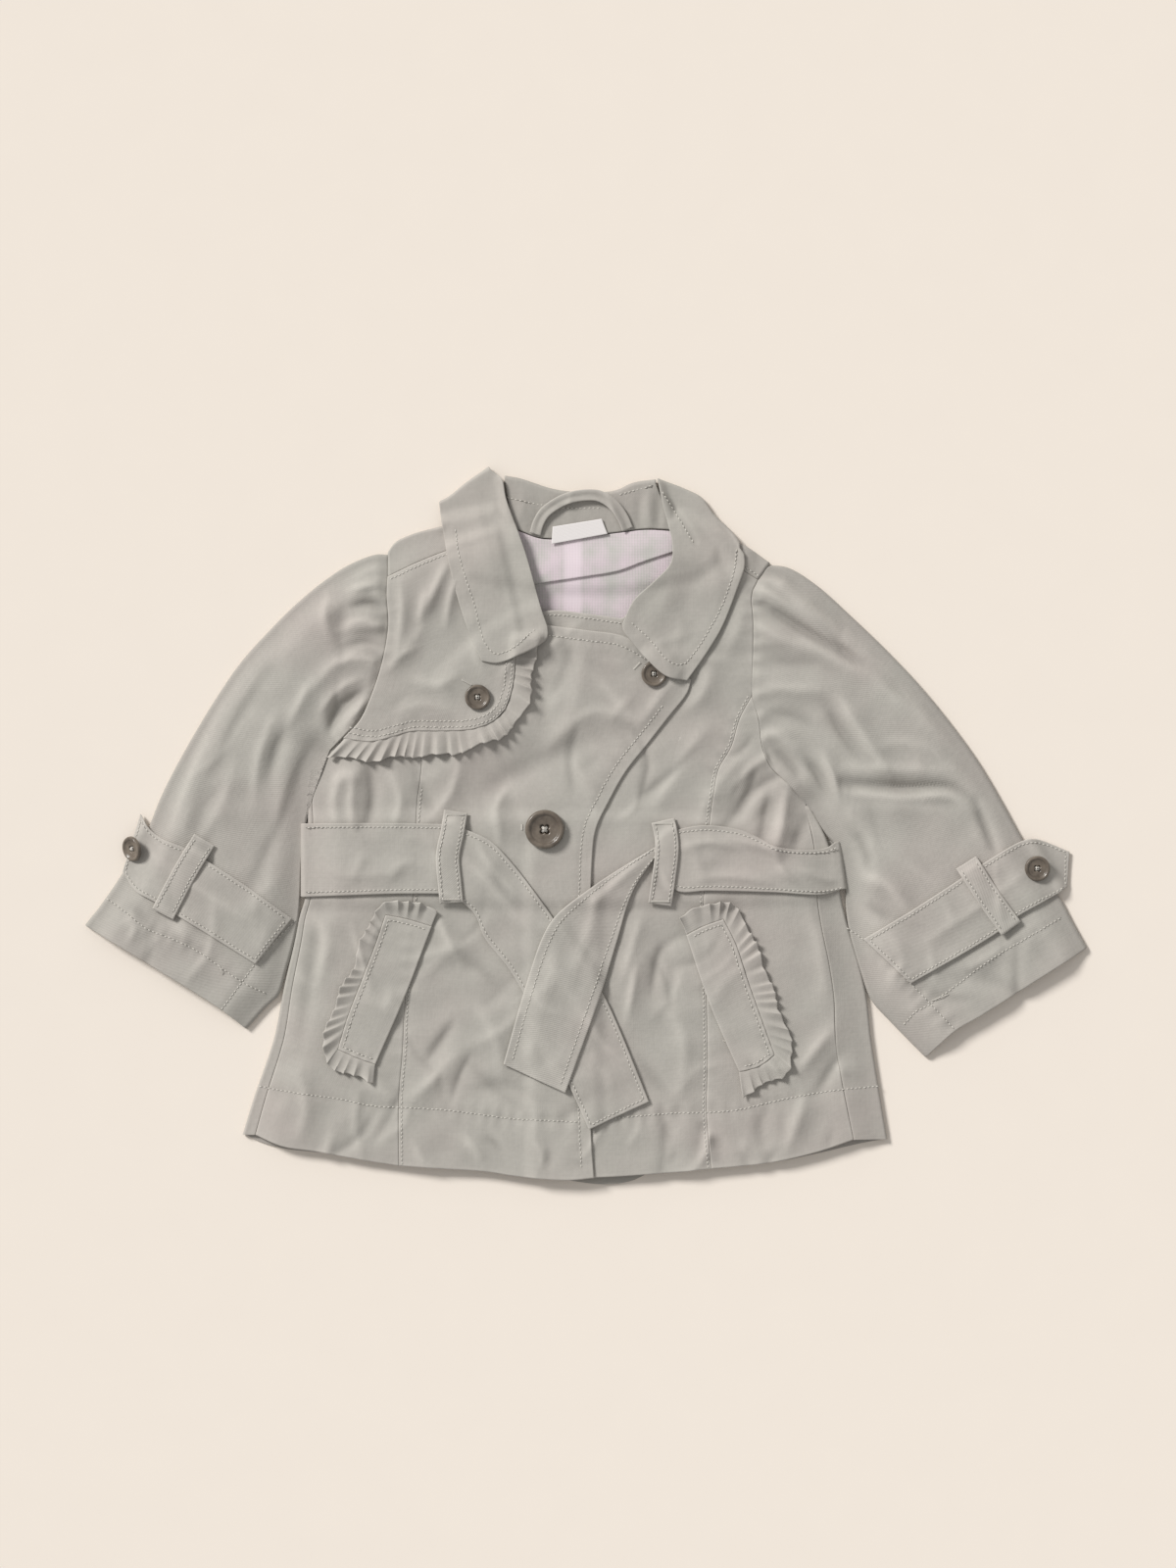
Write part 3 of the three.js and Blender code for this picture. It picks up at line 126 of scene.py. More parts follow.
class Line:
    """One smooth stretch, or several that meet at corners. A share from 0 to 1 runs evenly along its
    length, or gives each stretch the share of the whole that is asked for."""

    def __init__(self, *stretches, shares=None):
        parts = [smooth_line(points) for points in stretches]
        lengths = np.array([arc(part)[-1] for part in parts])
        shares = lengths / lengths.sum() if shares is None else np.array(shares)
        starts = np.cumsum(shares) - shares
        self.points = np.vstack(parts)
        self.shares = np.concatenate(
            [start + share * arc(part) / arc(part)[-1] for part, start, share in zip(parts, starts, shares)]
        )
        self.length = lengths.sum()

    def at(self, share):
        return np.stack([np.interp(share, self.shares, self.points[:, axis]) for axis in (0, 1)], -1)

    def sample(self, spacing=4):
        return self.at(np.linspace(0, 1, max(2, round(self.length / spacing)) + 1))


def pairs(*numbers):
    """Points from a row of numbers, the x and y of each in turn."""
    return np.reshape(numbers, (-1, 2))


def traced(points):
    """A chain of points 2 mm apart on the smooth line through a few."""
    return Line(points).sample(2)


def unit(vector):
    return vector / np.linalg.norm(vector, axis=-1, keepdims=True)


def moved(points, dx, dy=0):
    return [(x + dx, y + dy) for x, y in points]


def as_line(points):
    return points if isinstance(points, Line) else Line(points)


print("a line through three points is", round(Line([(0, 0), (10, 5), (20, 0)]).length, 1), "mm long")

# %% Patches, strips and bands
class Patch:
    """A Coons patch: the blend of the bottom and top lines, plus the blend of the left and right lines,
    less the flat blend of the four corners, which both of them hold."""

    def __init__(self, bottom, top, left, right):
        self.bottom, self.top, self.left, self.right = map(as_line, (bottom, top, left, right))
        self.width = (self.bottom.length + self.top.length) / 2
        self.height = (self.left.length + self.right.length) / 2
        self.outline = np.vstack([
            self.bottom.sample(), self.right.sample(), self.top.sample()[::-1], self.left.sample()[::-1],
        ])

    def place(self, u, v):
        u, v = np.broadcast_arrays(u, v)
        su, sv = u[..., None], v[..., None]
        across = (1 - sv) * self.bottom.at(u) + sv * self.top.at(u)
        along = (1 - su) * self.left.at(v) + su * self.right.at(v)
        low = (1 - su) * self.bottom.at(0) + su * self.bottom.at(1)
        high = (1 - su) * self.top.at(0) + su * self.top.at(1)
        return across + along - (1 - sv) * low - sv * high


class Strip:
    """The straight blend from one line to another: u runs along both and v from the first to the last."""

    def __init__(self, first, last):
        self.first, self.last = as_line(first), as_line(last)
        self.width = (self.first.length + self.last.length) / 2
        self.height = np.linalg.norm(self.first.at(0.5) - self.last.at(0.5))
        self.outline = np.vstack([self.first.sample(), self.last.sample()[::-1]])

    def place(self, u, v):
        u, v = np.broadcast_arrays(u, v)
        return (1 - v[..., None]) * self.first.at(u) + v[..., None] * self.last.at(u)


def aside(line, offset, start=0, end=1, spacing=2):
    """A chain of points beside a line: each point of the line moved along its left-hand normal."""
    points = line.at(np.linspace(start, end, max(3, round(line.length * (end - start) / spacing)) + 1))
    slope = np.gradient(points, axis=0)
    normal = np.stack([-slope[:, 1], slope[:, 0]], -1)
    return points + offset * normal / np.linalg.norm(normal, axis=1, keepdims=True)


def band(points, width):
    """A strip of even width: the line through the points, moved half the width to either side."""
    line = Line(points)
    return Strip(aside(line, -width / 2, spacing=6), aside(line, width / 2, spacing=6))


print("a band is", round(band([(0, 0), (30, 4), (60, 0)], 12.5).height, 2), "mm wide")

# %% [markdown]
# ## A map of heights
#
# Cloth that is laid flat is a stack: what lies on top is raised by all that is under it. The whole stack
# is kept as maps, one height for each millimetre of the table. A map is read between its points through
# a cubic B-spline, so the cloth stays smooth at any mesh size.

# %% The lattice and its readings
LATTICE_X = np.arange(-284.0, 285.0)
LATTICE_Y = np.arange(-206.0, 207.0)
GRID_X, GRID_Y = np.meshgrid(LATTICE_X, LATTICE_Y)
FLAT = np.zeros_like(GRID_X)


def reading(heights, places):
    """The map's height at places. Each is the weighted sum of the 4 by 4 heights around it, with the
    weights of the uniform cubic B-spline in x and in y."""
    column = np.clip(places[..., 0] - LATTICE_X[0], 1, len(LATTICE_X) - 3.001)
    row = np.clip(places[..., 1] - LATTICE_Y[0], 1, len(LATTICE_Y) - 3.001)
    c, r = np.floor(column).astype(int), np.floor(row).astype(int)
    total = np.zeros(column.shape)
    for i, wy in enumerate(spline_weights(row - r)):
        for j, wx in enumerate(spline_weights(column - c)):
            total += wy * wx * heights[r + i - 1, c + j - 1]
    return total


def spline_weights(t):
    return (
        (1 - t) ** 3 / 6,
        (3 * t**3 - 6 * t**2 + 4) / 6,
        (-3 * t**3 + 3 * t**2 + 3 * t + 1) / 6,
        t**3 / 6,
    )


def window(points, reach):
    """The part of the lattice that lies within reach of a chain's box."""
    low, high = points.min(0) - reach, points.max(0) + reach
    columns = np.clip(np.searchsorted(LATTICE_X, (low[0], high[0])), 0, len(LATTICE_X))
    rows = np.clip(np.searchsorted(LATTICE_Y, (low[1], high[1])), 0, len(LATTICE_Y))
    return slice(*rows), slice(*columns)


print("lattice:", FLAT.shape)

# %% Distances and covers
def nearest(points, x=GRID_X, y=GRID_Y):
    """For each place, the distance to a chain and how far along the chain its nearest point is. Each
    link is tried in turn on the whole array."""
    least, along = np.full(x.shape, 1e9), np.zeros(x.shape)
    run = arc(points)
    for (ax, ay), (bx, by), start in zip(points[:-1], points[1:], run):
        length = max(np.hypot(bx - ax, by - ay), 1e-6)
        dx, dy = (bx - ax) / length, (by - ay) / length
        t = np.clip((x - ax) * dx + (y - ay) * dy, 0, length)
        away = np.hypot(x - ax - t * dx, y - ay - t * dy)
        closer = away < least
        least = np.where(closer, away, least)
        along = np.where(closer, start + t, along)
    return least, along


def smooth(value):
    t = np.clip(value, 0, 1)
    return t * t * (3 - 2 * t)


def inside(outline, x, y):
    """Even-odd rule: a place is inside if a ray from it to the right crosses the outline an odd number
    of times."""
    odd = np.zeros(x.shape, bool)
    for (ax, ay), (bx, by) in zip(outline, np.roll(outline, -1, axis=0)):
        crosses = (ay > y) != (by > y)
        if ay != by:
            odd ^= crosses & (x < (bx - ax) * (y - ay) / (by - ay) + ax)
    return odd


SLOPE = 8
MARGIN = 0.8


def cover(outline, slope=SLOPE):
    """The share of a layer's height that is felt at a place: all of it on the layer and just past its
    edge, then a smooth slope down to nothing."""
    share = FLAT.copy()
    box = window(outline, slope + MARGIN + 2)
    x, y = GRID_X[box], GRID_Y[box]
    away = nearest(np.vstack([outline, outline[:1]]), x, y)[0]
    share[box] = np.where(inside(outline, x, y), 1, 1 - smooth((away - MARGIN) / slope))
    return share


print("a cover of a 40 mm square has", int(cover(pairs(0, 0, 40, 0, 40, 40, 0, 40)).sum()), "mm2")

# %% Folds, puckers and a soft unevenness
random = np.random.default_rng(7)
FOLD_SCALE = 2.7
CREST_SHARE, CREST_WIDTH = 0.38, 0.42


def folds(rows, scale=FOLD_SCALE):
    """The sum of a table of folds. A row holds a fold's width and its rise, then the x and y of each point
    of its line. It is a wide bell across that line with a sharper one on it, faded towards both ends."""
    total = FLAT.copy()
    for width, rise, *path in rows:
        points = Line(np.reshape(path, (-1, 2))).sample(3)
        box = window(points, 3 * width)
        away, along = nearest(points, GRID_X[box], GRID_Y[box])
        share = along / arc(points)[-1]
        fade = 0.2 + 0.8 * np.sin(np.pi * np.clip(share, 0.02, 0.98)) ** 0.7
        crest = np.exp(-((away / (CREST_WIDTH * width)) ** 2))
        bell = (1 - CREST_SHARE) * np.exp(-((away / width) ** 2)) + CREST_SHARE * crest
        total[box] += scale * rise * fade * bell
    return total


def scattered(count, low, high, heading, spread, length=(12, 40), width=(2.2, 6), rise=0.47):
    """Small creases of wear at random places of a box, bent a little, near one heading in degrees."""
    rows = []
    for _ in range(count):
        turn = np.radians(random.normal(heading, spread))
        ahead = np.array([np.cos(turn), np.sin(turn)]) * random.uniform(*length) / 2
        sideways = np.array([-ahead[1], ahead[0]]) * random.normal(0, 0.25)
        middle = random.uniform(low, high)
        height = rise * random.uniform(0.4, 1) * random.choice([-1, 1])
        path = np.concatenate([middle - ahead, middle + sideways, middle + ahead])
        rows.append((random.uniform(*width), height, *path))
    return rows


def puckers(points, depth, reach=4, wave=8):
    """Small waves that a row of stitches draws into cloth: a cosine along the row, whose pitch drifts,
    under a bell across it."""
    share = FLAT.copy()
    box = window(points, 3 * reach)
    away, along = nearest(points, GRID_X[box], GRID_Y[box])
    drift = random.uniform(0, TURN, 3)
    phase = TURN * along / wave
    phase = phase + 1.6 * np.sin(along / 11 + drift[0]) + 1.1 * np.sin(along / 29 + drift[1])
    strength = 0.6 + 0.4 * np.sin(along / 37 + drift[2])
    share[box] = depth * strength * np.cos(phase) * np.exp(-((away / reach) ** 2))
    return share


def groove(points, depth=0.22, width=1.3):
    """The shallow ditch that a row of stitches pulls into cloth."""
    share = FLAT.copy()
    box = window(points, 4 * width)
    away = nearest(points, GRID_X[box], GRID_Y[box])[0]
    share[box] = -depth * np.exp(-((away / width) ** 2))
    return share


def lifted(value, softness=0.4):
    """The value where it's above zero and nothing below, with a soft turn between."""
    return (value + np.sqrt(value**2 + softness**2)) / 2


def bridged(relief, kept=0.35):
    """The relief as cloth laid over it feels it: its ridges in full, its troughs by the kept share."""
    return kept * relief + (1 - kept) * lifted(relief)


def unevenness(height, short, long, count=26):
    """The sum of plane waves with random headings and with lengths from short to long."""
    total = FLAT.copy()
    for turn, length, start in zip(
        random.uniform(0, TURN, count),
        np.geomspace(short, long, count),
        random.uniform(0, TURN, count),
    ):
        heading = GRID_X * np.cos(turn) + GRID_Y * np.sin(turn)
        total += np.sin(TURN * heading / length + start)
    return height * total / np.sqrt(count)


soft_waves = unevenness(0.22, 14, 60)
print("soft waves reach", round(float(np.abs(soft_waves).max()), 2), "mm")

# %% [markdown]
# ## Cloth as a closed wall
#
# A piece of cloth is two sheets, its face and its back, a little over a millimetre apart. Real edges are
# folded, so both sheets run together there in a half round. `wall` joins any two grids into one closed
# mesh, and `cloth` lays a patch on what is under it.

# %% From grids to a mesh
CLOTH = 1.2
pieces = {}


def make_mesh(name, points, faces, uv=None, tone_and_shade=1, edge=None):
    """Puts points in millimetres and faces into a mesh whose place is in its points. The faces are turned
    over where their volume, the sum of the triple products of their corners, comes out negative."""
    tone_and_shade = np.broadcast_to(tone_and_shade, len(points))
    used, faces = np.unique(faces, return_inverse=True)
    faces = faces.reshape(-1, 4)
    points = points[used]
    corners = points[faces]
    volume = sum(
        np.einsum("ij,ij->", corners[:, 0], np.cross(corners[:, i], corners[:, i + 1])) for i in (1, 2)
    )
    faces = faces[:, ::-1] if volume < 0 else faces
    mesh = bpy.data.meshes.new(name + "_sewn")
    mesh.from_pydata((points * MM).tolist(), [], faces.tolist())
    mesh.shade_smooth()
    if uv is not None:
        layer = mesh.uv_layers.new(name="UVMap")
        layer.data.foreach_set("uv", (uv[used] * 0.01)[faces.ravel()].astype(np.float32).ravel())
    worn = np.zeros(len(used)) if edge is None else edge[used].ravel()
    # This attribute holds each piece's own tone together with painted shade: darker crease hollows, paler
    # crests and dark needle holes.
    for title, values in (("tone_and_shade", tone_and_shade[used]), ("edge", worn)):
        field = mesh.attributes.new(title, "FLOAT", "POINT")
        field.data.foreach_set("value", values.astype(np.float32))
    piece = bpy.data.objects.new(name + "_sewn", mesh)
    bpy.context.scene.collection.objects.link(piece)
    pieces[name] = piece
    return piece


def grid_faces(rows, columns, live=None, ring=False):
    """The faces of a wall between two grids of points: each live cell on both sheets, and a rim along
    each of its edges that no other live cell shares."""
    index = np.arange(rows * columns).reshape(rows, columns)
    across = np.roll(index, -1, axis=1)
    cell = np.stack([index[:-1], across[:-1], across[1:], index[1:]], -1)
    cell = cell if ring else cell[:, :-1]
    live = np.ones(cell.shape[:2], bool) if live is None else live
    under = rows * columns
    around = np.pad(live, ((1, 1), (0, 0)))
    beside = np.pad(live, ((0, 0), (1, 1)), mode="wrap" if ring else "constant")
    faces = [cell[live], cell[live][:, ::-1] + under]
    neighbours = {(0, 1): around[:-2], (1, 2): beside[:, 2:], (2, 3): around[2:], (3, 0): beside[:, :-2]}
    for (first, last), neighbour in neighbours.items():
        edge = cell[live & ~neighbour]
        a, b = edge[:, first], edge[:, last]
        faces.append(np.stack([b, a, a + under, b + under], -1))
    return np.vstack(faces)


def wall(name, outer, inner, uv=None, live=None, ring=False, tone_and_shade=1, edge=None):
    rows, columns = outer.shape[:2]
    points = np.vstack([outer.reshape(-1, 3), inner.reshape(-1, 3)])
    uv, edge = [
        None if field is None else np.tile(field.reshape(rows * columns, -1), (2, 1)) for field in (uv, edge)
    ]
    tone_and_shade = np.tile(np.broadcast_to(tone_and_shade, (rows, columns)).ravel(), 2)
    return make_mesh(name, points, grid_faces(rows, columns, live, ring), uv, tone_and_shade, edge)


print("a wall of 3 by 3 points has", len(grid_faces(3, 3)), "faces")

# %% Cloth that lies on what is under it
ROUNDING = (0, 0.1, 0.3, 0.65, 1.1)
WORN_EDGE = 1.2


def stops(length, spacing, ends=(True, True)):
    """Shares along a side: set close together over the rounding at either end, then evenly spaced."""
    near = np.array(ROUNDING) / length
    low = near if ends[0] else np.zeros(1)
    high = 1 - near[::-1] if ends[1] else np.ones(1)
    count = max(2, round(length / spacing))
    return np.concatenate([low[:-1], np.linspace(low[-1], high[0], count + 1), high[1:]])


def chart(places):
    """Each place's distance along its row and along its column, in millimetres."""
    step_u = np.linalg.norm(np.diff(places, axis=1), axis=-1)
    step_v = np.linalg.norm(np.diff(places, axis=0), axis=-1)
    u = np.pad(np.cumsum(step_u, axis=1), ((0, 0), (1, 0)))
    v = np.pad(np.cumsum(step_v, axis=0), ((1, 0), (0, 0)))
    return u, v


def edge_distance(places):
    u, v = chart(places)
    return np.minimum(np.minimum(u, u[:, -1:] - u), np.minimum(v, v[-1:] - v))


def half_round(away, radius):
    """A quarter circle's rise: 0 at the edge and 1 from the radius on."""
    return np.sqrt(np.clip(1 - (1 - np.clip(away / radius, 0, 1)) ** 2, 0.0025, 1))


def rounded(away, thickness=CLOTH):
    """Half the thickness of cloth at a distance from its edge, where it closes in a half round."""
    return thickness / 2 * half_round(away, thickness / 2)


def sheets(places, middle, half):
    """The two sheets of cloth over places: its middle height, plus and minus half its thickness."""
    return [np.dstack([places, middle + sign * half]) for sign in (1, -1)]


def joined(*pairs, axis=0):
    """Pairs of sheets joined end to end, each first one to the first and each second to the second."""
    return [np.concatenate(parts, axis=axis) for parts in zip(*pairs)]


# Painted shade and light of creases: the share by which hollows darken, the depth in mm that counts as full,
# and the reach in mm of the mean around.
VALLEY_SHADE, VALLEY_DEPTH, VALLEY_REACH = 0.2, 0.9, 4


def with_painted_shade(tone_and_shade, heights, places):
    """The values with painted shade and light: darker where the map lies below the mean of the places around
    it, as shade in a crease, and paler above it, as light on a crest.
    """
    mean = heights
    for axis in (0, 1, 0, 1):
        steps = range(-VALLEY_REACH, VALLEY_REACH + 1)
        mean = sum(np.roll(mean, step, axis) for step in steps) / len(steps)
    valley = np.clip((mean - heights) / VALLEY_DEPTH, -0.5, 1)
    return tone_and_shade * (1 - VALLEY_SHADE * reading(valley, places))


def cloth(name, patch, under, thickness=CLOTH, spacing=1.5, tone_and_shade=1, turn=None, creases=None):
    """A wall over a patch. Its middle runs half its thickness above the map of what is under it, and both
    sheets close in a half round at the edge. turn lifts or sinks it by a function of u and v. creases is
    the map from which painted shade and light are laid into its colour, where not the one of what is
    under it."""
    u, v = stops(patch.width, spacing)[None, :], stops(patch.height, spacing)[:, None]
    places = patch.place(u, v)
    away = edge_distance(places)
    middle = reading(under, places) + thickness / 2
    if turn is not None:
        middle = middle + turn(*np.broadcast_arrays(u, v), places)
    faces = sheets(places, middle, rounded(away, thickness))
    # Painted shade in the hollows of the creases and painted light on their crests go into the piece's
    # colour.
    tone_and_shade = with_painted_shade(tone_and_shade, under if creases is None else creases, places)
    return wall(name, *faces, np.dstack(chart(places)), tone_and_shade=tone_and_shade, edge=np.exp(-away / WORN_EDGE))


print("a 37 mm side has", len(stops(37, 1.5)), "stops")

# %% [markdown]
# ## The stack under the front
#
# The belt's run, the collar's fall and the tucks of its leaves lie under the back. The coat is folded
# at its sides and shoulders, so its front rises from nothing there to a soft loft in the middle.

# %% Outlines of the body
SIDE_RIGHT = pairs(
    -182, -164, -175.5, -143, -168.5, -123, -164.8, -111, -160, -86, -154.5, -62, -152, -49, -148.6, -38,
    -147.8, -18, -147.2, 3, -147.7, 12, -146.8, 20, -144.6, 27, -139, 36.5,
)
SIDE_LEFT = pairs(
    159.6, -166.4, 154.4, -135, 150.8, -111, 148.7, -92, 145, -75, 138.8, -54, 134.8, -37.4, 133, -28,
    129, -12, 124, 0, 118.6, 10.4,
)
ARMHOLE_RIGHT = pairs(
    -139, 36.5, -128.5, 46, -119.6, 55.6, -113.6, 68.5, -108.7, 83, -106.3, 93, -104.5, 107, -105.4, 122,
    -105, 131.5, -105, 143.5,
)
ARMHOLE_LEFT = pairs(
    118.6, 10.4, 113.4, 17.2, 105.6, 23.4, 97.8, 30.7, 93.1, 41.6, 91.2, 56.2, 87.8, 68.5, 88.3, 92.6,
    88.3, 109, 87.6, 121.7, 91, 130, 96.7, 137.8,
)
SHOULDER_RIGHT = pairs(-105, 143.5, -101, 148.5, -91.5, 153, -76.4, 157, -50, 163)
SHOULDER_LEFT = pairs(50, 160, 66, 154, 84, 146.5, 96.7, 137.8)
BACK_NECK = pairs(-50, 163, -36, 153.5, -6, 149, 30, 152, 50, 160)
BACK_HEM = pairs(
    -182, -164, -174.7, -167.5, -161, -171.5, -142, -173.6, -98, -179.8, -55, -182.4, -20, -186.6, 3, -190,
    14, -190.3, 25, -188.4, 34, -184.6, 66, -181.6, 100, -178.8, 123, -174.2, 147, -168.6, 159.6, -166.4,
)
upwards = (BACK_HEM, SIDE_LEFT, ARMHOLE_LEFT)
downwards = (SHOULDER_LEFT, BACK_NECK, SHOULDER_RIGHT, ARMHOLE_RIGHT, SIDE_RIGHT)
body_outline = np.vstack([
    *[Line(points).sample() for points in upwards], *[Line(points).sample()[::-1] for points in downwards],
])
print("body outline:", len(body_outline), "points")

# %% What lies under the back
ROLL = pairs(-43.2, 185.4, -35.4, 184, -17.7, 178.4, -6.2, 176.8, 14.6, 177.3, 25, 181.6, 37, 183.4)
FALL_EDGE = pairs(-60, 136, -30, 131, 0, 129, 30, 131, 56, 136)
FALL_SIDE_RIGHT = pairs(-60, 136, -66, 147, -69, 158, -57, 168.4, -46.5, 176.4, -43.2, 183.2)
FALL_SIDE_LEFT = pairs(56, 136, 66, 146, 57, 156.5, 42.4, 171, 37, 181.2)
LEAF_RIGHT = {
    "right": pairs(-20.4, 105, -23.9, 115.4, -32.2, 145, -42.6, 173.7, -45, 184, -51.5, 190.3),
    "left": pairs(-55, 86.6, -60, 97, -65.5, 112, -72.3, 137.3, -77, 163.8, -78, 171.6),
    "bottom": pairs(-55, 86.6, -46.8, 85.6, -36.4, 89.2, -25, 94.8, -20.4, 99, -20.4, 105),
    "top": pairs(-78, 171.6, -72.3, 174.7, -64, 181.5, -51.5, 190.3),
}
LEAF_LEFT = {
    "left": pairs(19.2, 106.4, 25, 118.6, 36, 129, 44.6, 138.5, 45.6, 148, 43.6, 158, 40, 172, 37.6, 184),
    "right": pairs(53.4, 76.4, 63.4, 90.5, 71.8, 104.5, 79.6, 124.3, 84, 138.3, 84.2, 146.6),
    "bottom": pairs(19.2, 106.4, 19.6, 103, 24, 97, 32.2, 87.4, 42.6, 78.6, 53.4, 76.4),
    "top": pairs(37.6, 184, 51, 179, 61.4, 173.7, 68.1, 164.8, 78.5, 154.4, 84.2, 146.6),
}
BELT_TOP_BACK = pairs(-151.2, 1, -100, 1, 40, 0, 100, -3, 134.7, -8.6)
BELT_FOOT_BACK = pairs(-151.2, -38, -100, -37.5, 40, -37, 100, -36, 138.3, -33.8)
GAP = 0.4
LAYER = CLOTH + GAP
STAND_RISE = 3.2
STAND_TOP = STAND_RISE + CLOTH
STAND_FOLD = STAND_TOP / 2
COLLAR_TUCK = 8

roll_fold = Line(moved(ROLL, 0, -STAND_FOLD))
fall = Patch(FALL_EDGE, roll_fold, FALL_SIDE_RIGHT, FALL_SIDE_LEFT)
belt_back = Strip(BELT_FOOT_BACK, BELT_TOP_BACK)
leaf_right, leaf_left = Patch(**LEAF_RIGHT), Patch(**LEAF_LEFT)


def tuck_outline(leaf):
    """The leaf's tuck: from its fold inwards by the tuck's length, along the leaf's own direction."""
    u = np.linspace(0, 1, 9)
    edge = leaf.place(u, 1)
    inward = unit(leaf.place(u, 0.8) - edge)
    return np.vstack([edge, (edge + inward * (COLLAR_TUCK + 3))[::-1]])


under_outlines = (belt_back.outline, fall.outline, tuck_outline(leaf_right), tuck_outline(leaf_left))
back_under = LAYER * np.maximum.reduce([cover(outline) for outline in under_outlines])
print("what lies under the back lifts it by", LAYER, "mm")

# %% [markdown]
# ## Creases of the body
#
# The main creases are listed: a trough that runs slantwise over the lapped front, ridges that
# gather above the belt, a twisted pair under the left arm, and short slants at the hem. Each row gives
# a fold's width and rise and the points of its line. Rows of stitches add ditches and puckers.

# %% Large folds and creases
BODY_FOLDS = [
    (13, -1.1, 4, 46, -30, 31, -62, 13), (10, 0.6, -20, 66, -52, 47, -84, 24),
    (5, -0.6, -25, 78, -22, 54), (9, 0.5, -2, 92, -8, 60, -20, 44), (5, 1, -123, 26, -124, 10, -122, -3),
    (4, -0.9, -115, 32, -113, 14, -116, -1), (6, 0.9, -135, 22, -128, 26, -118, 24),
    (5, 0.7, -104, 30, -98, 14, -101, 0), (6, -0.7, -90, 30, -84, 12, -76, 4),
    (5, 0.6, -66, 34, -72, 16, -84, 2), (7, 0.5, -52, 12, -46, -4, -48, -18),
    (8, 0.9, 38, 12, 50, 32, 62, 50), (5, -0.8, 28, 14, 44, 26, 58, 40), (6, 0.6, 52, 60, 62, 70, 66, 84),
    (7, 0.7, 60, 4, 70, 22, 84, 38), (5, -0.8, 72, -2, 84, 12, 90, 30),
    (6, 1.3, 107, 20, 105, 6, 100, -14), (5, -1.1, 97, 16, 95, 2, 92, -10),
    (4, -0.9, 118, 8, 114, -2, 110, -12), (7, 0.5, 74, 90, 80, 104, 84, 120),
    (8, -0.8, -141, -43, -147, -80, -152, -119), (6, 0.6, -152, -132, -148, -150, -152, -165),
    (5, 0.8, -117, -134, -110, -139, -100, -147), (6, 0.8, -92, -144, -80, -134, -68, -121),
    (4, -0.7, -84, -124, -76, -113, -70, -104), (4, 0.7, -66, -72, -74, -58, -79, -46),
    (6, -0.6, -66, -72, -56, -76, -44, -88), (7, 0.5, -58, -96, -48, -112, -44, -136),
    (7, -0.5, -60, -140, -40, -138, -24, -146), (4, 0.7, -64, -166, -58, -172, -54, -178),
    (5, 0.9, 27, -74, 25, -86, 22, -102), (4, -0.7, 40, -64, 37, -74, 35, -88),
    (8, 0.6, 44, -96, 52, -116, 50, -138), (6, -0.5, 26, -120, 36, -134, 48, -148),
    (6, 0.9, 130, -108, 122, -118, 113, -130), (4, -0.7, 136, -120, 128, -132, 122, -142),
    (3, 0.6, 134, -129, 146, -131), (6, 0.8, 116, -142, 112, -156, 106, -172),
    (6, -0.6, 96, -148, 92, -160, 94, -172), (8, 0.6, 118, -44, 124, -64, 126, -92),
    (7, 0.6, -20, 41, 4, 60, 26, 55), (5, 0.6, -40, 22, -47, 10, -45, -2),
    (6, 0.45, 6, 78, 20, 62, 30, 50), (5, 0.8, 77, 20, 90, 32, 105, 41),
    (4, -0.7, 82, 12, 94, 22, 106, 28), (4, 0.8, -130, 27, -134, 12, -132, 0),
    (6, 0.7, 29, -49, 24, -66, 18, -84), (6, 0.7, -144, -46, -138, -62, -142, -84),
    (7, 0.45, -90, -84, -76, -70, -62, -60), (6, 0.5, -30, -94, -44, -108, -60, -116),
    (6, 0.5, 88, -120, 100, -128, 112, -126),
]
loft_edges = [Line(points).sample() for points in (SIDE_RIGHT, SIDE_LEFT, SHOULDER_RIGHT, SHOULDER_LEFT)]
BODY_LOFT = 3.3
LOFT_EDGE = 20

inward = np.minimum.reduce([nearest(points)[0] for points in loft_edges])
loft_share = smooth(inward / LOFT_EDGE)
body_wear = [
    *scattered(34, (-145, 0), (110, 110), 60, 40),
    *scattered(40, (-160, -175), (140, -40), 75, 35),
    *scattered(16, (-160, -180), (140, -160), 95, 20, (8, 20), (2, 4.5)),
]
body_relief = folds(BODY_FOLDS) + folds(body_wear) + soft_waves
print("creases reach from", *np.round([body_relief.min(), body_relief.max()], 2), "mm")

# %% Seams of the front and their stitches
PRINCESS_RIGHT = pairs(
    -99, -180.2, -99, -143.5, -97, -118.6, -96, -95.7, -91.5, -40, -89.9, 1, -89.2, 14, -87.8, 24.4,
    -87.4, 36, -94, 46.5, -104, 56.5, -113.6, 68.5,
)
PRINCESS_LEFT = pairs(
    66.2, -181.8, 63.8, -151.8, 64.3, -125.8, 63.8, -92, 62.3, -34.8, 65.3, 1, 67.5, 17.2, 70, 29.6,
    76.8, 41.6, 81.4, 56.7, 87.8, 68.5,
)
OVER_EDGE = pairs(
    4.2, -186.5, 2.6, -160, 2.6, -90, 3.1, -19.8, 5.2, -2.1, 12, 12.5, 20.8, 28.1, 32.2, 42.6, 43.2, 56.7,
    53.6, 70.2, 55.6, 77,
)
UNDER_EDGE = pairs(
    -25, -187, -25.5, -90, -26, -20, -24, -2, -30.7, 12.5, -39.5, 28.1, -51, 42.6, -62, 56.7, -72.3, 70.2,
    -74.3, 77,
)
OVER_HEM = pairs(-99, -180.2, -72.8, -182, -54, -183.2, -34.8, -186, -9.9, -187.7, 4.2, -186.5)
UNDER_HEM = pairs(-25, -187, 9.9, -186.2, 28.1, -185.1, 50.4, -183.4, 66.2, -181.8)
OVER_NECK = pairs(-22, 106, 1, 103, 18.7, 100.4, 35, 92, 55.6, 77)
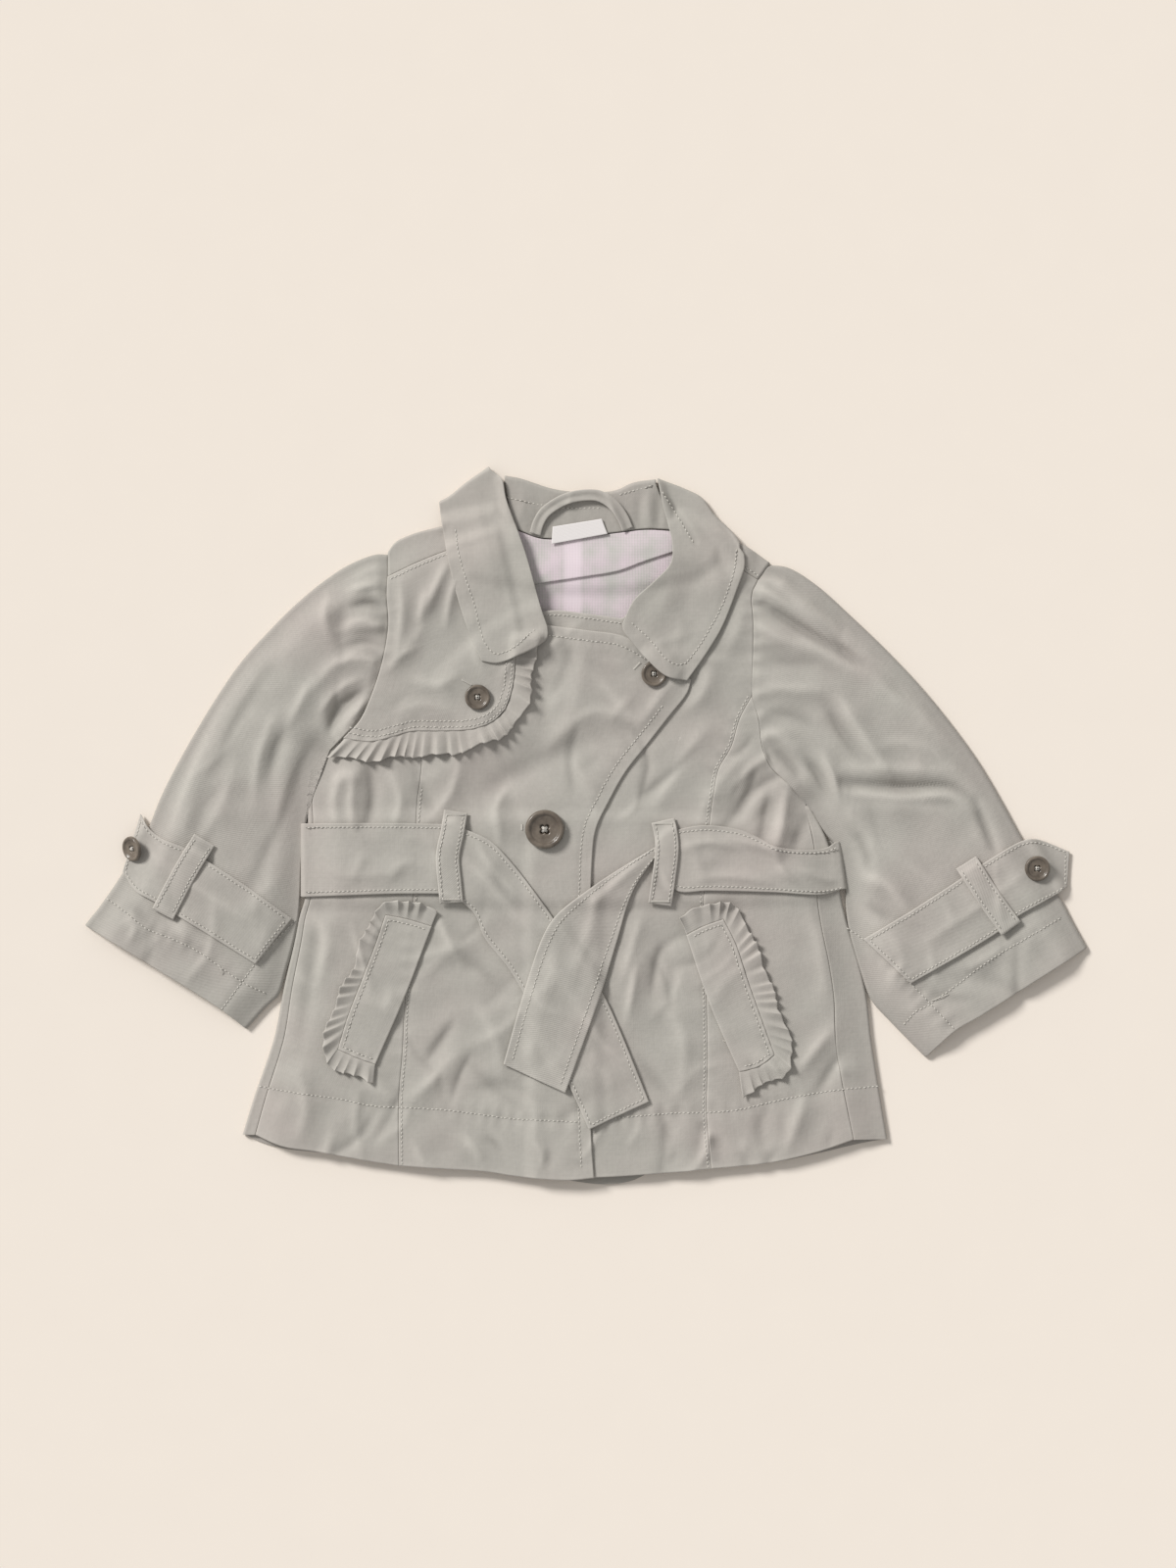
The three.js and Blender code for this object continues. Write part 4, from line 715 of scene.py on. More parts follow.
OVER_COLLAR_SEAM = pairs(-49, 153.5, -39, 139, -31, 122, -22, 106)
UNDER_NECK = pairs(-74.3, 77, -54, 96, -37, 107, -21.3, 113.4, 1, 111.8, 19.2, 109.2)
UNDER_COLLAR_SEAM = pairs(19.2, 109.2, 30, 121, 45, 136, 52, 149)
SHOULDER_SEAM_RIGHT = pairs(-105, 131.5, -91.5, 138, -75.4, 144.6, -49, 153.5)
SHOULDER_SEAM_LEFT = pairs(52, 149, 72, 141, 91, 130)
SIDE_HEM_RIGHT = pairs(-175.5, -166.4, -161.2, -171.8, -142, -174.2, -117, -178, -99, -180.2)
SIDE_HEM_LEFT = pairs(66.2, -181.8, 81.6, -181, 99.8, -179.4, 123.2, -174.7, 142, -169)
HEM_STITCH_RIGHT = pairs(
    -173.7, -138.3, -154.4, -141.4, -132, -144.6, -110.8, -148.7, -99.3, -149.2, -79, -150.3, -60.3, -152.4,
    -41, -155, -22.4, -156, -3.6, -157,
)
HEM_STITCH_LEFT = pairs(
    4.8, -155.8, 45.8, -152.4, 66, -151.8, 81.6, -150.3, 99.8, -146, 117.5, -142.5, 134.2, -139.9,
    155.5, -138.3,
)
over_edge_line = Line(OVER_EDGE)
front_stitches = {
    "over_edge": aside(over_edge_line, 6.2, 0.02, 0.93),
    "neck": aside(Line(OVER_NECK), -5.4, 0.02, 0.8),
    "hem_right": traced(HEM_STITCH_RIGHT),
    "hem_left": traced(HEM_STITCH_LEFT),
    "princess_right": aside(Line(PRINCESS_RIGHT), -1.6, 0, 0.78),
    "princess_left": aside(Line(PRINCESS_LEFT), 1.6, 0, 1),
    "shoulder_right": aside(Line(SHOULDER_SEAM_RIGHT), -2),
    "shoulder_left": aside(Line(SHOULDER_SEAM_LEFT), 2),
}
stitch_relief = sum(groove(points) for points in front_stitches.values())
puckered = [
    (front_stitches["over_edge"], 0.16, 4.5, 9), (front_stitches["neck"], 0.22, 3.5, 5.5),
    *[(front_stitches[name], 0.24, 5.5, 8) for name in ("hem_right", "hem_left")],
    *[(traced(seam), 0.26, 5, 9) for seam in (PRINCESS_RIGHT, PRINCESS_LEFT)],
    *[(traced(seam), 0.22, 5, 8) for seam in (ARMHOLE_RIGHT, ARMHOLE_LEFT)],
]
pucker_relief = sum(puckers(*row) for row in puckered)
print("rows of stitches on the front:", len(front_stitches))

# %% The front's height
LINING_UPPER = {
    "top": pairs(-38.6, 157, -23.4, 151.7, -6.2, 152.1, 14.6, 154.5, 32, 156.4, 53, 155),
    "bottom": pairs(-29, 127.4, -1.6, 131.4, 17.2, 134.6, 29.6, 139.2, 53, 147),
}
LINING_LOWER = {
    "top": pairs(-30, 132.5, -1.6, 136.5, 17.2, 139.6, 29.6, 144, 52, 151),
    "bottom": pairs(-29, 99, 0, 97, 32, 100),
}
LINING = 1
EDGE_RELIEF = 0.35
lining_lower = Strip(LINING_LOWER["bottom"], LINING_LOWER["top"])
lining_upper = Strip(LINING_UPPER["bottom"], LINING_UPPER["top"])
lining_rise = (LINING + GAP) * cover(lining_lower.outline, 14)
relief = body_relief + stitch_relief + pucker_relief
small_relief = EDGE_RELIEF * (1 - loft_share) * (stitch_relief + pucker_relief)
loft = lifted(loft_share * (BODY_LOFT + relief) + small_relief)
bridged_loft = np.maximum(loft, lifted(loft_share * (BODY_LOFT + bridged(relief))))
front_under = back_under + LAYER + loft + lining_rise
print("the front lies", round(float(front_under.max()), 1), "mm high at most")

# %% [markdown]
# ## Fronts
#
# Each front is cut in two, joined by a seam that starts in the armhole and runs down to the hem. The
# right one laps over the left with a curved edge. The rows of both panels end at the same points of the
# seam, so the two edges meet in a fine valley.

# %% The four front panels
# How far the back wraps round each side onto the front, at heights from the hem up
WRAP_RIGHT = pairs(-164, 6.8, -123, 5.6, -83, 4.2, -38, 2.9, 36, 2.4)
WRAP_LEFT = pairs(-166, 18, -120, 19.6, -78, 16.4, -37, 12.6, -12, 8.2, 10, 3.4)
PRINCESS_SHARE = 0.78


def wrapped(points, rows, side):
    """A side's line, moved onto the front by the width that the back wraps round it."""
    return [(x - side * np.interp(y, *zip(*rows)), y) for x, y in points]


shares = (PRINCESS_SHARE, 1 - PRINCESS_SHARE)
under_front = Patch(
    UNDER_HEM, Line(UNDER_NECK, UNDER_COLLAR_SEAM, SHOULDER_SEAM_LEFT), UNDER_EDGE,
    Line(PRINCESS_LEFT, ARMHOLE_LEFT[6:11], shares=shares),
)
over_front = Patch(
    OVER_HEM, Line(SHOULDER_SEAM_RIGHT, OVER_COLLAR_SEAM, OVER_NECK),
    Line(PRINCESS_RIGHT, ARMHOLE_RIGHT[3:9], shares=shares), OVER_EDGE,
)
corner_right, corner_left = (-136.4, 38.9), (116.2, 13.3)
side_front_right = Patch(
    SIDE_HEM_RIGHT, [corner_right, *ARMHOLE_RIGHT[1:4]],
    [*wrapped(SIDE_RIGHT, WRAP_RIGHT, -1)[:-1], corner_right], PRINCESS_RIGHT,
)
side_front_left = Patch(
    SIDE_HEM_LEFT, [*ARMHOLE_LEFT[6:0:-1], corner_left], PRINCESS_LEFT,
    [*wrapped(SIDE_LEFT, WRAP_LEFT, 1)[:-1], corner_left],
)

under_share, over_share = cover(under_front.outline), cover(over_front.outline)
stack = LAYER + lining_rise + CLOTH + LAYER * under_share * over_share
body_share = cover(body_outline)
body_top = back_under + body_share * (stack + loft)
on_body = back_under + body_share * (stack + bridged_loft) + GAP
cloth("front_left", under_front, front_under, tone_and_shade=0.985, creases=relief)
cloth("front_right", over_front, front_under + LAYER * under_share, creases=relief)
cloth("front_right_side", side_front_right, front_under, tone_and_shade=0.99, creases=relief)
cloth("front_left_side", side_front_left, front_under, tone_and_shade=0.98, creases=relief)
print("front panels:", [len(pieces[name].data.polygons) for name in list(pieces)])

# %% [markdown]
# ## Back
#
# The back is one sheet that lies on the table. It turns up round both sides and over the shoulders, and
# ends at the seams there, because this coat has its side seams on top as it lies. A fold is half a ring
# between the two layers.

# %% The back with its folds
FOLD_RADIUS = CLOTH + GAP / 2
FOLD_TURNS = np.radians([75, 45, 15, -15, -45, -75])


def fold_ring(centre, outward, height, radius, half):
    """The two sheets round a fold: the centre plus the outward direction times a radius and a cosine, at
    the height plus the radius times a sine. Their radii are half a cloth less than the fold's, plus and
    minus the half."""
    turn = FOLD_TURNS[:, None]
    middle = radius - CLOTH / 2
    return [
        np.dstack([centre + outward * (ring * np.cos(turn))[..., None], height + ring * np.sin(turn)])
        for ring in (middle + half, middle - half)
    ]


def side_fold(edge, outward):
    """The fold of the back at a side or a shoulder, with the front's height above and the back's below."""
    low = reading(back_under, edge)
    high = reading(front_under, edge) + CLOTH
    return fold_ring(edge, outward, (high + low) / 2, (high - low) / 2, CLOTH / 2)


side_right, side_left = Line(moved(SIDE_RIGHT, FOLD_RADIUS)), Line(moved(SIDE_LEFT, -FOLD_RADIUS))
underarm = Line([side_right.at(1), side_left.at(1)])
back_lower = Patch(BACK_HEM, underarm, side_right, side_left)
shoulder_share = 0.25
back_top = Line(
    moved(SHOULDER_RIGHT, 0, -FOLD_RADIUS), BACK_NECK, moved(SHOULDER_LEFT, 0, -FOLD_RADIUS),
    shares=(shoulder_share, 1 - 2 * shoulder_share, shoulder_share),
)
back_upper = Patch(underarm, back_top, ARMHOLE_RIGHT, ARMHOLE_LEFT)


def flat_pair(places):
    under = reading(back_under, places)
    return np.dstack([places, under]), np.dstack([places, under + CLOTH])


def front_pair(places, away):
    """The face and back of cloth on the front. Both close at a seam, whose distance away is given."""
    return sheets(places, reading(front_under, places) + CLOTH / 2, rounded(away))


def side_wrap(v, side, rows):
    """The back's way round one side: from the seam on the front to the fold, then down round it."""
    edge = back_lower.place(0 if side < 0 else 1, v)
    width = np.interp(edge[:, 1], *zip(*rows)) - FOLD_RADIUS
    steps = stops(9, 1.5, ends=(True, False))[:, None, None]
    seam = edge - side * width[:, None] * np.array([1.0, 0.0])
    places = (seam[None] * (1 - steps) + edge[None] * steps).transpose(1, 0, 2)
    away = np.linalg.norm(places - places[:, :1], axis=-1)
    ring = side_fold(edge, np.array([float(side), 0.0]))
    faces = joined(front_pair(places, away), [part.transpose(1, 0, 2) for part in ring], axis=1)
    return [face if side < 0 else face[:, ::-1] for face in faces]


BACK_COLUMNS = 120
v_lower = stops(back_lower.height, 3, ends=(True, False))[::-1]
u_flat = np.linspace(0, 1, BACK_COLUMNS + 1)
flat = flat_pair(back_lower.place(u_flat[None, :], v_lower[:, None]))
lower_grid = joined(side_wrap(v_lower, -1, WRAP_RIGHT), flat, side_wrap(v_lower, 1, WRAP_LEFT), axis=1)
v_upper = np.linspace(1, 0, 48)[:-1]
upper_flat = flat_pair(back_upper.place(u_flat[None, :], v_upper[:, None]))
edge = back_upper.place(u_flat, 1)
on_right = u_flat < 0.5
seam_share = np.where(on_right, u_flat, u_flat - 1 + shoulder_share) / shoulder_share
seam = np.where(
    on_right[:, None],
    Line(SHOULDER_SEAM_RIGHT).at(np.clip(seam_share, 0, 1)),
    Line(SHOULDER_SEAM_LEFT).at(np.clip(seam_share, 0, 1)),
)
outward = unit(edge - seam)
steps = stops(10, 1.5, ends=(True, False))[:, None, None]
wrap_places = seam[None] * (1 - steps) + edge[None] * steps
wrap_pair = front_pair(wrap_places, np.linalg.norm(wrap_places - seam[None], axis=-1))
ring_pair = side_fold(edge, outward)
ends = (lower_grid[0].shape[1] - len(u_flat)) // 2
upper_grid = joined(wrap_pair, ring_pair, upper_flat)
upper_grid = [np.pad(part, ((0, 0), (ends, ends), (0, 0)), mode="edge") for part in upper_grid]
back_faces = joined(upper_grid, lower_grid)
wrap_rows = len(steps) + len(FOLD_TURNS)
columns = back_faces[0].shape[1] - 1
row_number = np.arange(back_faces[0].shape[0] - 1)[:, None]
flat_number = np.arange(columns)[None, :] - ends
is_flat = (flat_number >= 0) & (flat_number < BACK_COLUMNS)
shoulder_cells = BACK_COLUMNS * shoulder_share
is_shoulder = is_flat & ((flat_number < shoulder_cells) | (flat_number >= BACK_COLUMNS - shoulder_cells))
first_lower = len(upper_grid[0])
live = np.where(row_number < wrap_rows, is_shoulder, is_flat | (row_number >= first_lower))
wall("back", *back_faces, uv=back_faces[0][..., :2], live=live, tone_and_shade=0.985)
print("back:", len(pieces["back"].data.polygons), "faces")

# %% [markdown]
# ## Neck
#
# The neck shows the inside of the coat: a fine checked lining in two parts, the collar's stand above it,
# a hanger loop and a woven label. The label is bare. The stand turns over at the roll and falls behind
# the back.

# %% Lining, stand, label and loop
STAND_SEAM = pairs(-39, 157.5, -23.4, 152.2, -6.2, 152.6, 14.6, 155, 32, 157, 46.4, 156.4)
HANGER_ARCH = pairs(-27, 154, -23.5, 163.5, -14, 171, -4, 174.2, 8, 173.8, 17.4, 166, 22, 156.6)
LABEL = {"top": pairs(-17.7, 158, 8.3, 162.2), "bottom": pairs(-18.2, 148.8, 11.4, 154.2)}
HANGER_WIDTH = 6
STAND_STITCH = pairs(-42.6, 173.7, -29, 170.6, -12, 168, 7.8, 168)
STAND_STITCH_LEFT = pairs(17.2, 174.7, 27, 177.6, 36, 180)
NECK_PUCKERS = puckers(traced(STAND_SEAM), 0.2, 5, 6)
lining_under = back_under + LAYER
cloth("lining_lower", lining_lower, lining_under + 0.5 * soft_waves, LINING, tone_and_shade=0.92)
cloth("lining_upper", lining_upper, lining_under + lining_rise + 0.5 * soft_waves, LINING)

STAND_FOLDS = [
    (2.2, 0.6, 34, 181, 33, 170, 34, 158), (1.8, -0.5, 38.5, 182, 38.5, 172, 39, 158),
    (2, -0.4, 29, 180, 28, 170, 28, 158), (3.5, 0.4, -34, 184, -33, 172, -35, 160),
    (2.6, -0.3, -26, 178, -25, 168, -28, 158), (2.4, 0.4, 10, 176, 14, 168, 17, 158),
    (2.8, 0.25, -8, 176, -9, 168, -7, 158),
]
stand = Strip(STAND_SEAM, roll_fold)
stand_relief = folds(STAND_FOLDS) + NECK_PUCKERS + groove(traced(STAND_STITCH))
u = stops(stand.width, 1.5)
v_stand = stops(stand.height, 1.5, ends=(True, False))
places = stand.place(u[None, :], v_stand[:, None])
middle = STAND_RISE + CLOTH / 2 + reading(stand_relief, places) * (1 - v_stand[:, None] ** 2)
along, up = chart(places)
half = rounded(np.minimum(np.minimum(along, along[:, -1:] - along), up))
stand_ring = fold_ring(roll_fold.at(u), np.array([0.0, 1.0]), STAND_FOLD, STAND_FOLD, half[-1])
v_fall = np.linspace(1, 0, 16)[:, None]
fall_pair = sheets(fall.place(u[None, :], v_fall), CLOTH / 2, -half[-1] + 0 * v_fall)
collar_faces = joined(sheets(places, middle, half), stand_ring, fall_pair)
wall("collar_back", *collar_faces, uv=collar_faces[0][..., :2], tone_and_shade=0.93)

stand_share = cover(stand.outline, 6)
lining_top = lining_under + lining_rise + LINING
neck_top = np.maximum(STAND_TOP + stand_relief, lining_top) + 0.15
label = Strip(LABEL["bottom"], LABEL["top"])
cloth("neck_label", label, np.maximum(STAND_TOP + 0.8, lining_top + 0.6), 0.6, 1)
hanger = band(HANGER_ARCH, HANGER_WIDTH)
hanger_under = neck_top + 0.6 + groove(traced(HANGER_ARCH), 0.6, 0.8)
cloth("hanger_loop", hanger, hanger_under, 1, 0.75, tone_and_shade=0.97,
      turn=lambda u, v, places: 1.3 * np.sin(np.pi * u) ** 0.7)
print("neck pieces:", [name for name in list(pieces)[-5:]])

# %% [markdown]
# ## Storm flap and gathered trims
#
# A storm flap lies over the right chest, sewn into the shoulder, armhole and collar. Strips of cloth are
# gathered along its edge and round the pockets. A gathered strip stands up in uneven pleats that open
# towards its free edge, which a wave along the strip gives directly, where a simulation would be slow.

# %% The flap on the right chest
FLAP_SEAM = pairs(
    -126.4, 47.4, -112.3, 45.4, -101.9, 47.5, -91.5, 50.4, -75.4, 50.4, -59.3, 51.2, -48.9, 55.1,
    -42.6, 61.4, -39.5, 70.2, -38, 78.5, -37.4, 88, -37, 98,
)
FLAP_COLLAR_SEAM = pairs(-49, 153.5, -46, 140, -41, 118, -37, 98)
FLAP_TURN = 7
FLAP_FOLDS = [
    (5, 0.9, -73, 139, -80, 124, -85, 112), (4, 0.6, -85, 124, -88, 106),
    (5, 0.6, -105, 82, -98, 89, -89, 95), (4, 0.7, -66, 136, -71, 122, -74, 106),
    (5, 0.6, -98, 128, -97, 110, -100, 92), (6, 0.5, -92, 78, -78, 74, -66, 82),
    (7, 0.4, -100, 60, -84, 64, -70, 60), (6, 0.4, -54, 112, -58, 92, -52, 76),
]
flap_seam = Line(FLAP_SEAM)
flap = Patch(
    FLAP_SEAM[: FLAP_TURN + 1], SHOULDER_SEAM_RIGHT, ARMHOLE_RIGHT[1:9],
    Line(FLAP_SEAM[FLAP_TURN:], FLAP_COLLAR_SEAM[::-1]),
)
flap_rows = [aside(flap_seam, 1.5), aside(flap_seam, 4.6)]
flap_relief = 0.4 + lifted(folds(FLAP_FOLDS, 3.6)) + sum(groove(row, 0.2) for row in flap_rows)
flap_relief += puckers(flap_seam.sample(2), 0.3, 5, 7)
cloth("storm_flap", flap, on_body + flap_relief, tone_and_shade=0.985, creases=flap_relief)
flap_share = cover(flap.outline, 5)
flap_top = on_body + flap_relief + CLOTH
print("the flap is", round(flap.width), "by", round(flap.height), "mm")

# %% Gathered strips
FLAP_RUFFLE_EDGE = pairs(
    -137.4, 36.6, -123.2, 34.6, -112.3, 34, -101.9, 35.4, -93.6, 35.9, -80.6, 36.8, -70.2, 37.6, -61.4, 40,
    -53, 43, -44.7, 46.6, -38.5, 51.4, -32, 60, -28.8, 71, -27.6, 80, -26.4, 89, -26, 98,
)
WELT_RIGHT = {
    "top": pairs(-106, -47.4, -95, -49.5, -81.5, -53.4),
    "bottom": pairs(-131.2, -118.4, -121, -123, -111.3, -126.4),
    "left": pairs(-131.2, -118.4, -125.8, -101, -118, -80.6, -110.8, -61.9, -106, -47.4),
    "right": pairs(-111.3, -126.4, -95.7, -90.5, -81.5, -53.4),
}
WELT_LEFT = {
    "top": pairs(53, -58, 62, -53.4, 72.6, -49.6),
    "bottom": pairs(81, -130.4, 91, -127.6, 99.6, -121.4),
    "right": pairs(99.6, -121.4, 92.6, -102, 85.3, -81.6, 79, -62.4, 72.6, -49.6),
    "left": pairs(81, -130.4, 72.3, -111, 64, -91, 53, -58),
}
RUFFLE_RIGHT = pairs(
    -77.6, -45.4, -87.9, -41.4, -97.8, -39, -105.6, -40.6, -112.8, -47.8, -117.5, -56.7, -120.8, -66.6,
    -124.6, -77, -129.3, -86, -133.1, -94.6, -136.2, -103.5, -138.6, -111, -138.9, -121.5, -134.7, -127.9,
    -128.4, -131, -111.8, -136,
)
RUFFLE_LEFT = pairs(
    48.6, -49.6, 56, -44.6, 64, -41, 73.3, -40.4, 81, -45.4, 85.8, -53, 89, -61.4, 93.8, -72, 98.3, -85,
    101.8, -95, 105.8, -106.6, 109, -114, 109.6, -121, 105.8, -131, 96.2, -136.6, 83.6, -143.2,
)


LEAN_SHARE = 0.17


class Ruffle(Strip):
    """A strip from its seam to its free edge. Each pleat is a hump: half of one minus the cosine of a
    phase that drifts along the seam. Towards the free edge the humps rise, lean and poke out."""

    def __init__(self, seam, free_edge, pleats, rise):
        super().__init__(seam, free_edge)
        self.pleats, self.rise = pleats, rise
        self.lean = LEAN_SHARE * self.width / pleats
        self.drift = random.uniform(0, TURN, 5)

    def phase(self, u):
        slow, quick = TURN * 3.1 * u + self.drift[0], TURN * 5.3 * u + self.drift[1]
        return TURN * self.pleats * u + 1.2 * (0.8 * np.sin(slow) + np.sin(quick))

    def hump(self, u):
        uneven = 0.72 + 0.28 * np.sin(TURN * 4.7 * u + self.drift[2])
        return uneven * (0.5 - 0.5 * np.cos(self.phase(u))) ** 0.5

    def place(self, u, v):
        u, v = np.broadcast_arrays(u, v)
        flat = Strip.place(self, u, v)
        before, after = [Strip.place(self, np.clip(u + step, 0, 1), v) for step in (-0.004, 0.004)]
        ahead, outward = unit(after - before), unit(Strip.place(self, u, v + 1) - flat)
        lean = self.lean * v**0.6 * np.sin(self.phase(u) + 0.5 + 0.7 * np.sin(9 * u + self.drift[3]))
        poke = v * (1.1 * self.hump(u) - 0.6 + 0.8 * np.sin(TURN * 6.3 * u + self.drift[4]))
        return flat + lean[..., None] * ahead + poke[..., None] * outward

    def stand(self, u, v, places):
        return self.rise * self.hump(u) * (0.25 + 0.75 * v) * v**0.4 + 0.25 * v


FLAP_RISE, POCKET_RISE = 3.7, 2.8
flap_ruffle = Ruffle(FLAP_SEAM, FLAP_RUFFLE_EDGE, 24, FLAP_RISE)
cloth("storm_flap_ruffle", flap_ruffle, on_body, 1, 0.75, tone_and_shade=0.97, turn=flap_ruffle.stand)
ruffle_share = cover(flap_ruffle.outline, 4)
ruffle_height = GAP + 0.8 * FLAP_RISE + 1
WELT_LIFT = 0.3
POCKET_FOLDS = [(7, 0.35, -118, -92, -104, -96, -94, -104), (7, 0.35, 84, -74, 72, -84, 66, -96)]
pocket_relief = np.maximum(folds(POCKET_FOLDS), 0)
pocket_rows = {}
for side, welt, edge in (("right", WELT_RIGHT, RUFFLE_RIGHT), ("left", WELT_LEFT, RUFFLE_LEFT)):
    along, outer = (-1, "left") if side == "right" else (1, "right")
    seam = Line(welt["top"][::along], welt[outer][::-1], welt["bottom"][::-along])
    pocket_rows[side] = aside(seam, -2.4 * along, 0.02, 0.98)
    seam_puckers = puckers(seam.sample(2), 0.25, 4.5, 6)
    welt_under = on_body + pocket_relief + groove(pocket_rows[side]) + seam_puckers + WELT_LIFT
    cloth("pocket_welt_" + side, Patch(**welt), welt_under, tone_and_shade=0.995)
    trim = Ruffle(seam, edge, 23, POCKET_RISE)
    cloth("pocket_ruffle_" + side, trim, on_body, 1, 0.75, tone_and_shade=0.975, turn=trim.stand)
pocket_top = on_body + pocket_relief + CLOTH + WELT_LIFT
print("gathered strips:", [name for name in pieces if "ruffle" in name])

# %% [markdown]
# ## Buttons
#
# The five buttons are turned discs with a raised rim, a dished middle and four holes. A square grid is
# pressed onto the disc, so there is no pole in the middle where the holes are. The top and the bottom
# are heights over the distance from the axis, and the wall between them closes the form.

# %% Turned buttons
LARGE_BUTTON, SMALL_BUTTON = 20.7, 13.4
BUTTON_HEIGHT, BUTTON_SHANK = 0.2, 0.3
WAIST_BUTTON, CHEST_BUTTON, FLAP_BUTTON = (-21.8, -2.1), (35.9, 80), (-57.2, 67.6)
BUTTON_TOP = pairs(
    0, 0.6, 0.5, 0.62, 0.62, 0.68, 0.7, 0.72, 0.74, 0.86, 0.8, 0.97, 0.87, 1, 0.93, 0.96, 0.97, 0.84,
    1, 0.5,
)
HOLE_RADIUS, HOLE_PLACE, HOLE_DEPTH, UNDERCUT = 0.1, 0.17, 0.55, 0.35
BUTTON_CELLS = 64


def button(name, centre, diameter, seat, tilt=0, lean=0):
    """The grid's x and y, each shortened by the root of one minus half the other's square, fill a disc.
    The top follows a profile over the radius, less four pits. tilt turns the disc about the y axis. The
    paths of its threads come back: three strands from hole to hole each way."""
    radius = diameter / 2
    t = np.linspace(-1, 1, BUTTON_CELLS + 1)
    t = 0.6 * t + 0.4 * np.sin(np.pi * t / 2)
    a, b = np.meshgrid(t, t)
    x, y = a * np.sqrt(1 - b**2 / 2), b * np.sqrt(1 - a**2 / 2)
    away = np.hypot(x, y)
    fine = np.linspace(0, 1, 400)
    profile = np.interp(fine, *np.array(BUTTON_TOP).T)
    profile = np.convolve(np.pad(profile, 4, mode="edge"), np.ones(9) / 9, mode="valid")
    height = np.interp(away, fine, profile)
    for turn in np.radians([45, 135, 225, 315]):
        hole = np.hypot(x - HOLE_PLACE * np.cos(turn) * 1.1, y - HOLE_PLACE * np.sin(turn) * 1.1)
        height = height - HOLE_DEPTH * np.exp(-((hole / HOLE_RADIUS) ** 4))
    depth = diameter * BUTTON_HEIGHT
    under = UNDERCUT * np.clip((away - 0.8) / 0.2, 0, 1) ** 1.5
    sheets = [np.dstack([x * radius, y * radius, level * depth]) for level in (height, under)]
    turned = [turn_about(sheet, tilt, lean) + [*centre, seat] for sheet in sheets]
    wall(name, *turned)
    spots = HOLE_PLACE * radius * np.array([[-1, -1], [1, 1], [-1, 1], [1, -1]]) * 0.8
    strands, share = [], np.linspace(0, 1, 4)[:, None]
    rise = depth * (0.62 + 0.1 * np.array([-2.2, 1.6, 1.6, -2.2]))
    for start, end in (spots[:2], spots[2:]):
        across = unit(np.array([start[1] - end[1], end[0] - start[0]])) * 0.17 * radius / 6.7 * 1.6
        for shift in (-1, 0, 1):
            path = np.column_stack([start + (end - start) * share + across * shift, rise])
            strands.append(turn_about(path, tilt, lean) + [*centre, seat])
    return np.array(strands)


def turn_about(points, tilt, lean):
    """Turns points by tilt about the y axis, then by lean about the z axis."""
    c, s = np.cos(tilt), np.sin(tilt)
    x, y, z = points[..., 0] * c - points[..., 2] * s, points[..., 1], points[..., 0] * s + points[..., 2] * c
    return np.stack([x * np.cos(lean) - y * np.sin(lean), x * np.sin(lean) + y * np.cos(lean), z], -1)


def disc(centre, diameter):
    turn = np.linspace(0, TURN, 24, endpoint=False)
    return np.array(centre) + diameter / 2 * np.stack([np.cos(turn), np.sin(turn)], -1)


def seat_of(centre, diameter, top):
    return float(np.median(reading(top, disc(centre, diameter * 0.9)))) + BUTTON_SHANK


button_threads = []
for name, centre, diameter, top in (
    ("button_waist", WAIST_BUTTON, LARGE_BUTTON, body_top),
    ("button_chest", CHEST_BUTTON, SMALL_BUTTON, body_top),
    ("button_flap", FLAP_BUTTON, SMALL_BUTTON, flap_top),
):
    button_threads.append(button(name, centre, diameter, seat_of(centre, diameter, top)))
chest_top = seat_of(CHEST_BUTTON, SMALL_BUTTON, body_top) + SMALL_BUTTON * BUTTON_HEIGHT
print("buttons so far:", len(button_threads))

# %% [markdown]
# ## Collar leaves
#
# Each leaf is turned back over the chest. It covers the flap's edge on one side and half of the chest
# button on the other. Its inner edge is a soft roll, and its outer end folds over the shoulder line to
# a short tuck on the table.

# %% The leaves and their folds
LEAF_FOLDS = [
    (9, 0.5, -60, 160, -52, 144, -46, 122), (6, -0.4, -44, 140, -40, 120, -36, 104),
    (8, 0.4, -66, 126, -58, 110, -50, 100), (8, 0.5, 60, 150, 68, 136, 70, 118),
    (7, 0.5, 36, 122, 48, 110, 54, 96), (6, -0.4, 52, 128, 60, 112, 62, 100), (4, -0.4, 74, 142, 76, 130),
    (5, 0.35, -58, 176, -56, 160, -50, 146), (4, -0.3, -70, 160, -64, 150, -60, 140),
    (4, 0.3, -50, 112, -42, 102, -34, 98), (4, 0.3, 28, 108, 38, 98, 46, 88),
]
LEAF_STITCH_RIGHT = pairs(
    -69.2, 157, -67.1, 143.5, -62.9, 128.4, -59.3, 118, -56.2, 105, -53, 95.7, -47.8, 90.5, -38.5, 93.6,
    -25.5, 105,
)
LEAF_STITCH_LEFT = pairs(
    79.6, 146.6, 78.5, 136.2, 72.8, 118.6, 66, 105, 58.2, 92.6, 52.5, 85.8, 47.8, 84.8, 42.1, 87.9,
    34.3, 97.2, 23.4, 107.6,
)
LEAF_SEAM_LEFT = pairs(40, 176.8, 47, 166, 56.7, 149.2)
leaf_rows = {name: traced(points) for name, points in (
    ("right", LEAF_STITCH_RIGHT), ("left", LEAF_STITCH_LEFT), ("seam", LEAF_SEAM_LEFT),
)}
inner_rolls = np.maximum.reduce([
    np.exp(-((nearest(edge.sample())[0] / 5) ** 2)) for edge in (leaf_right.right, leaf_left.left)
])
leaf_relief = 0.3 + lifted(folds(LEAF_FOLDS, 1.9)) + 0.5 * soft_waves + 0.9 * inner_rolls
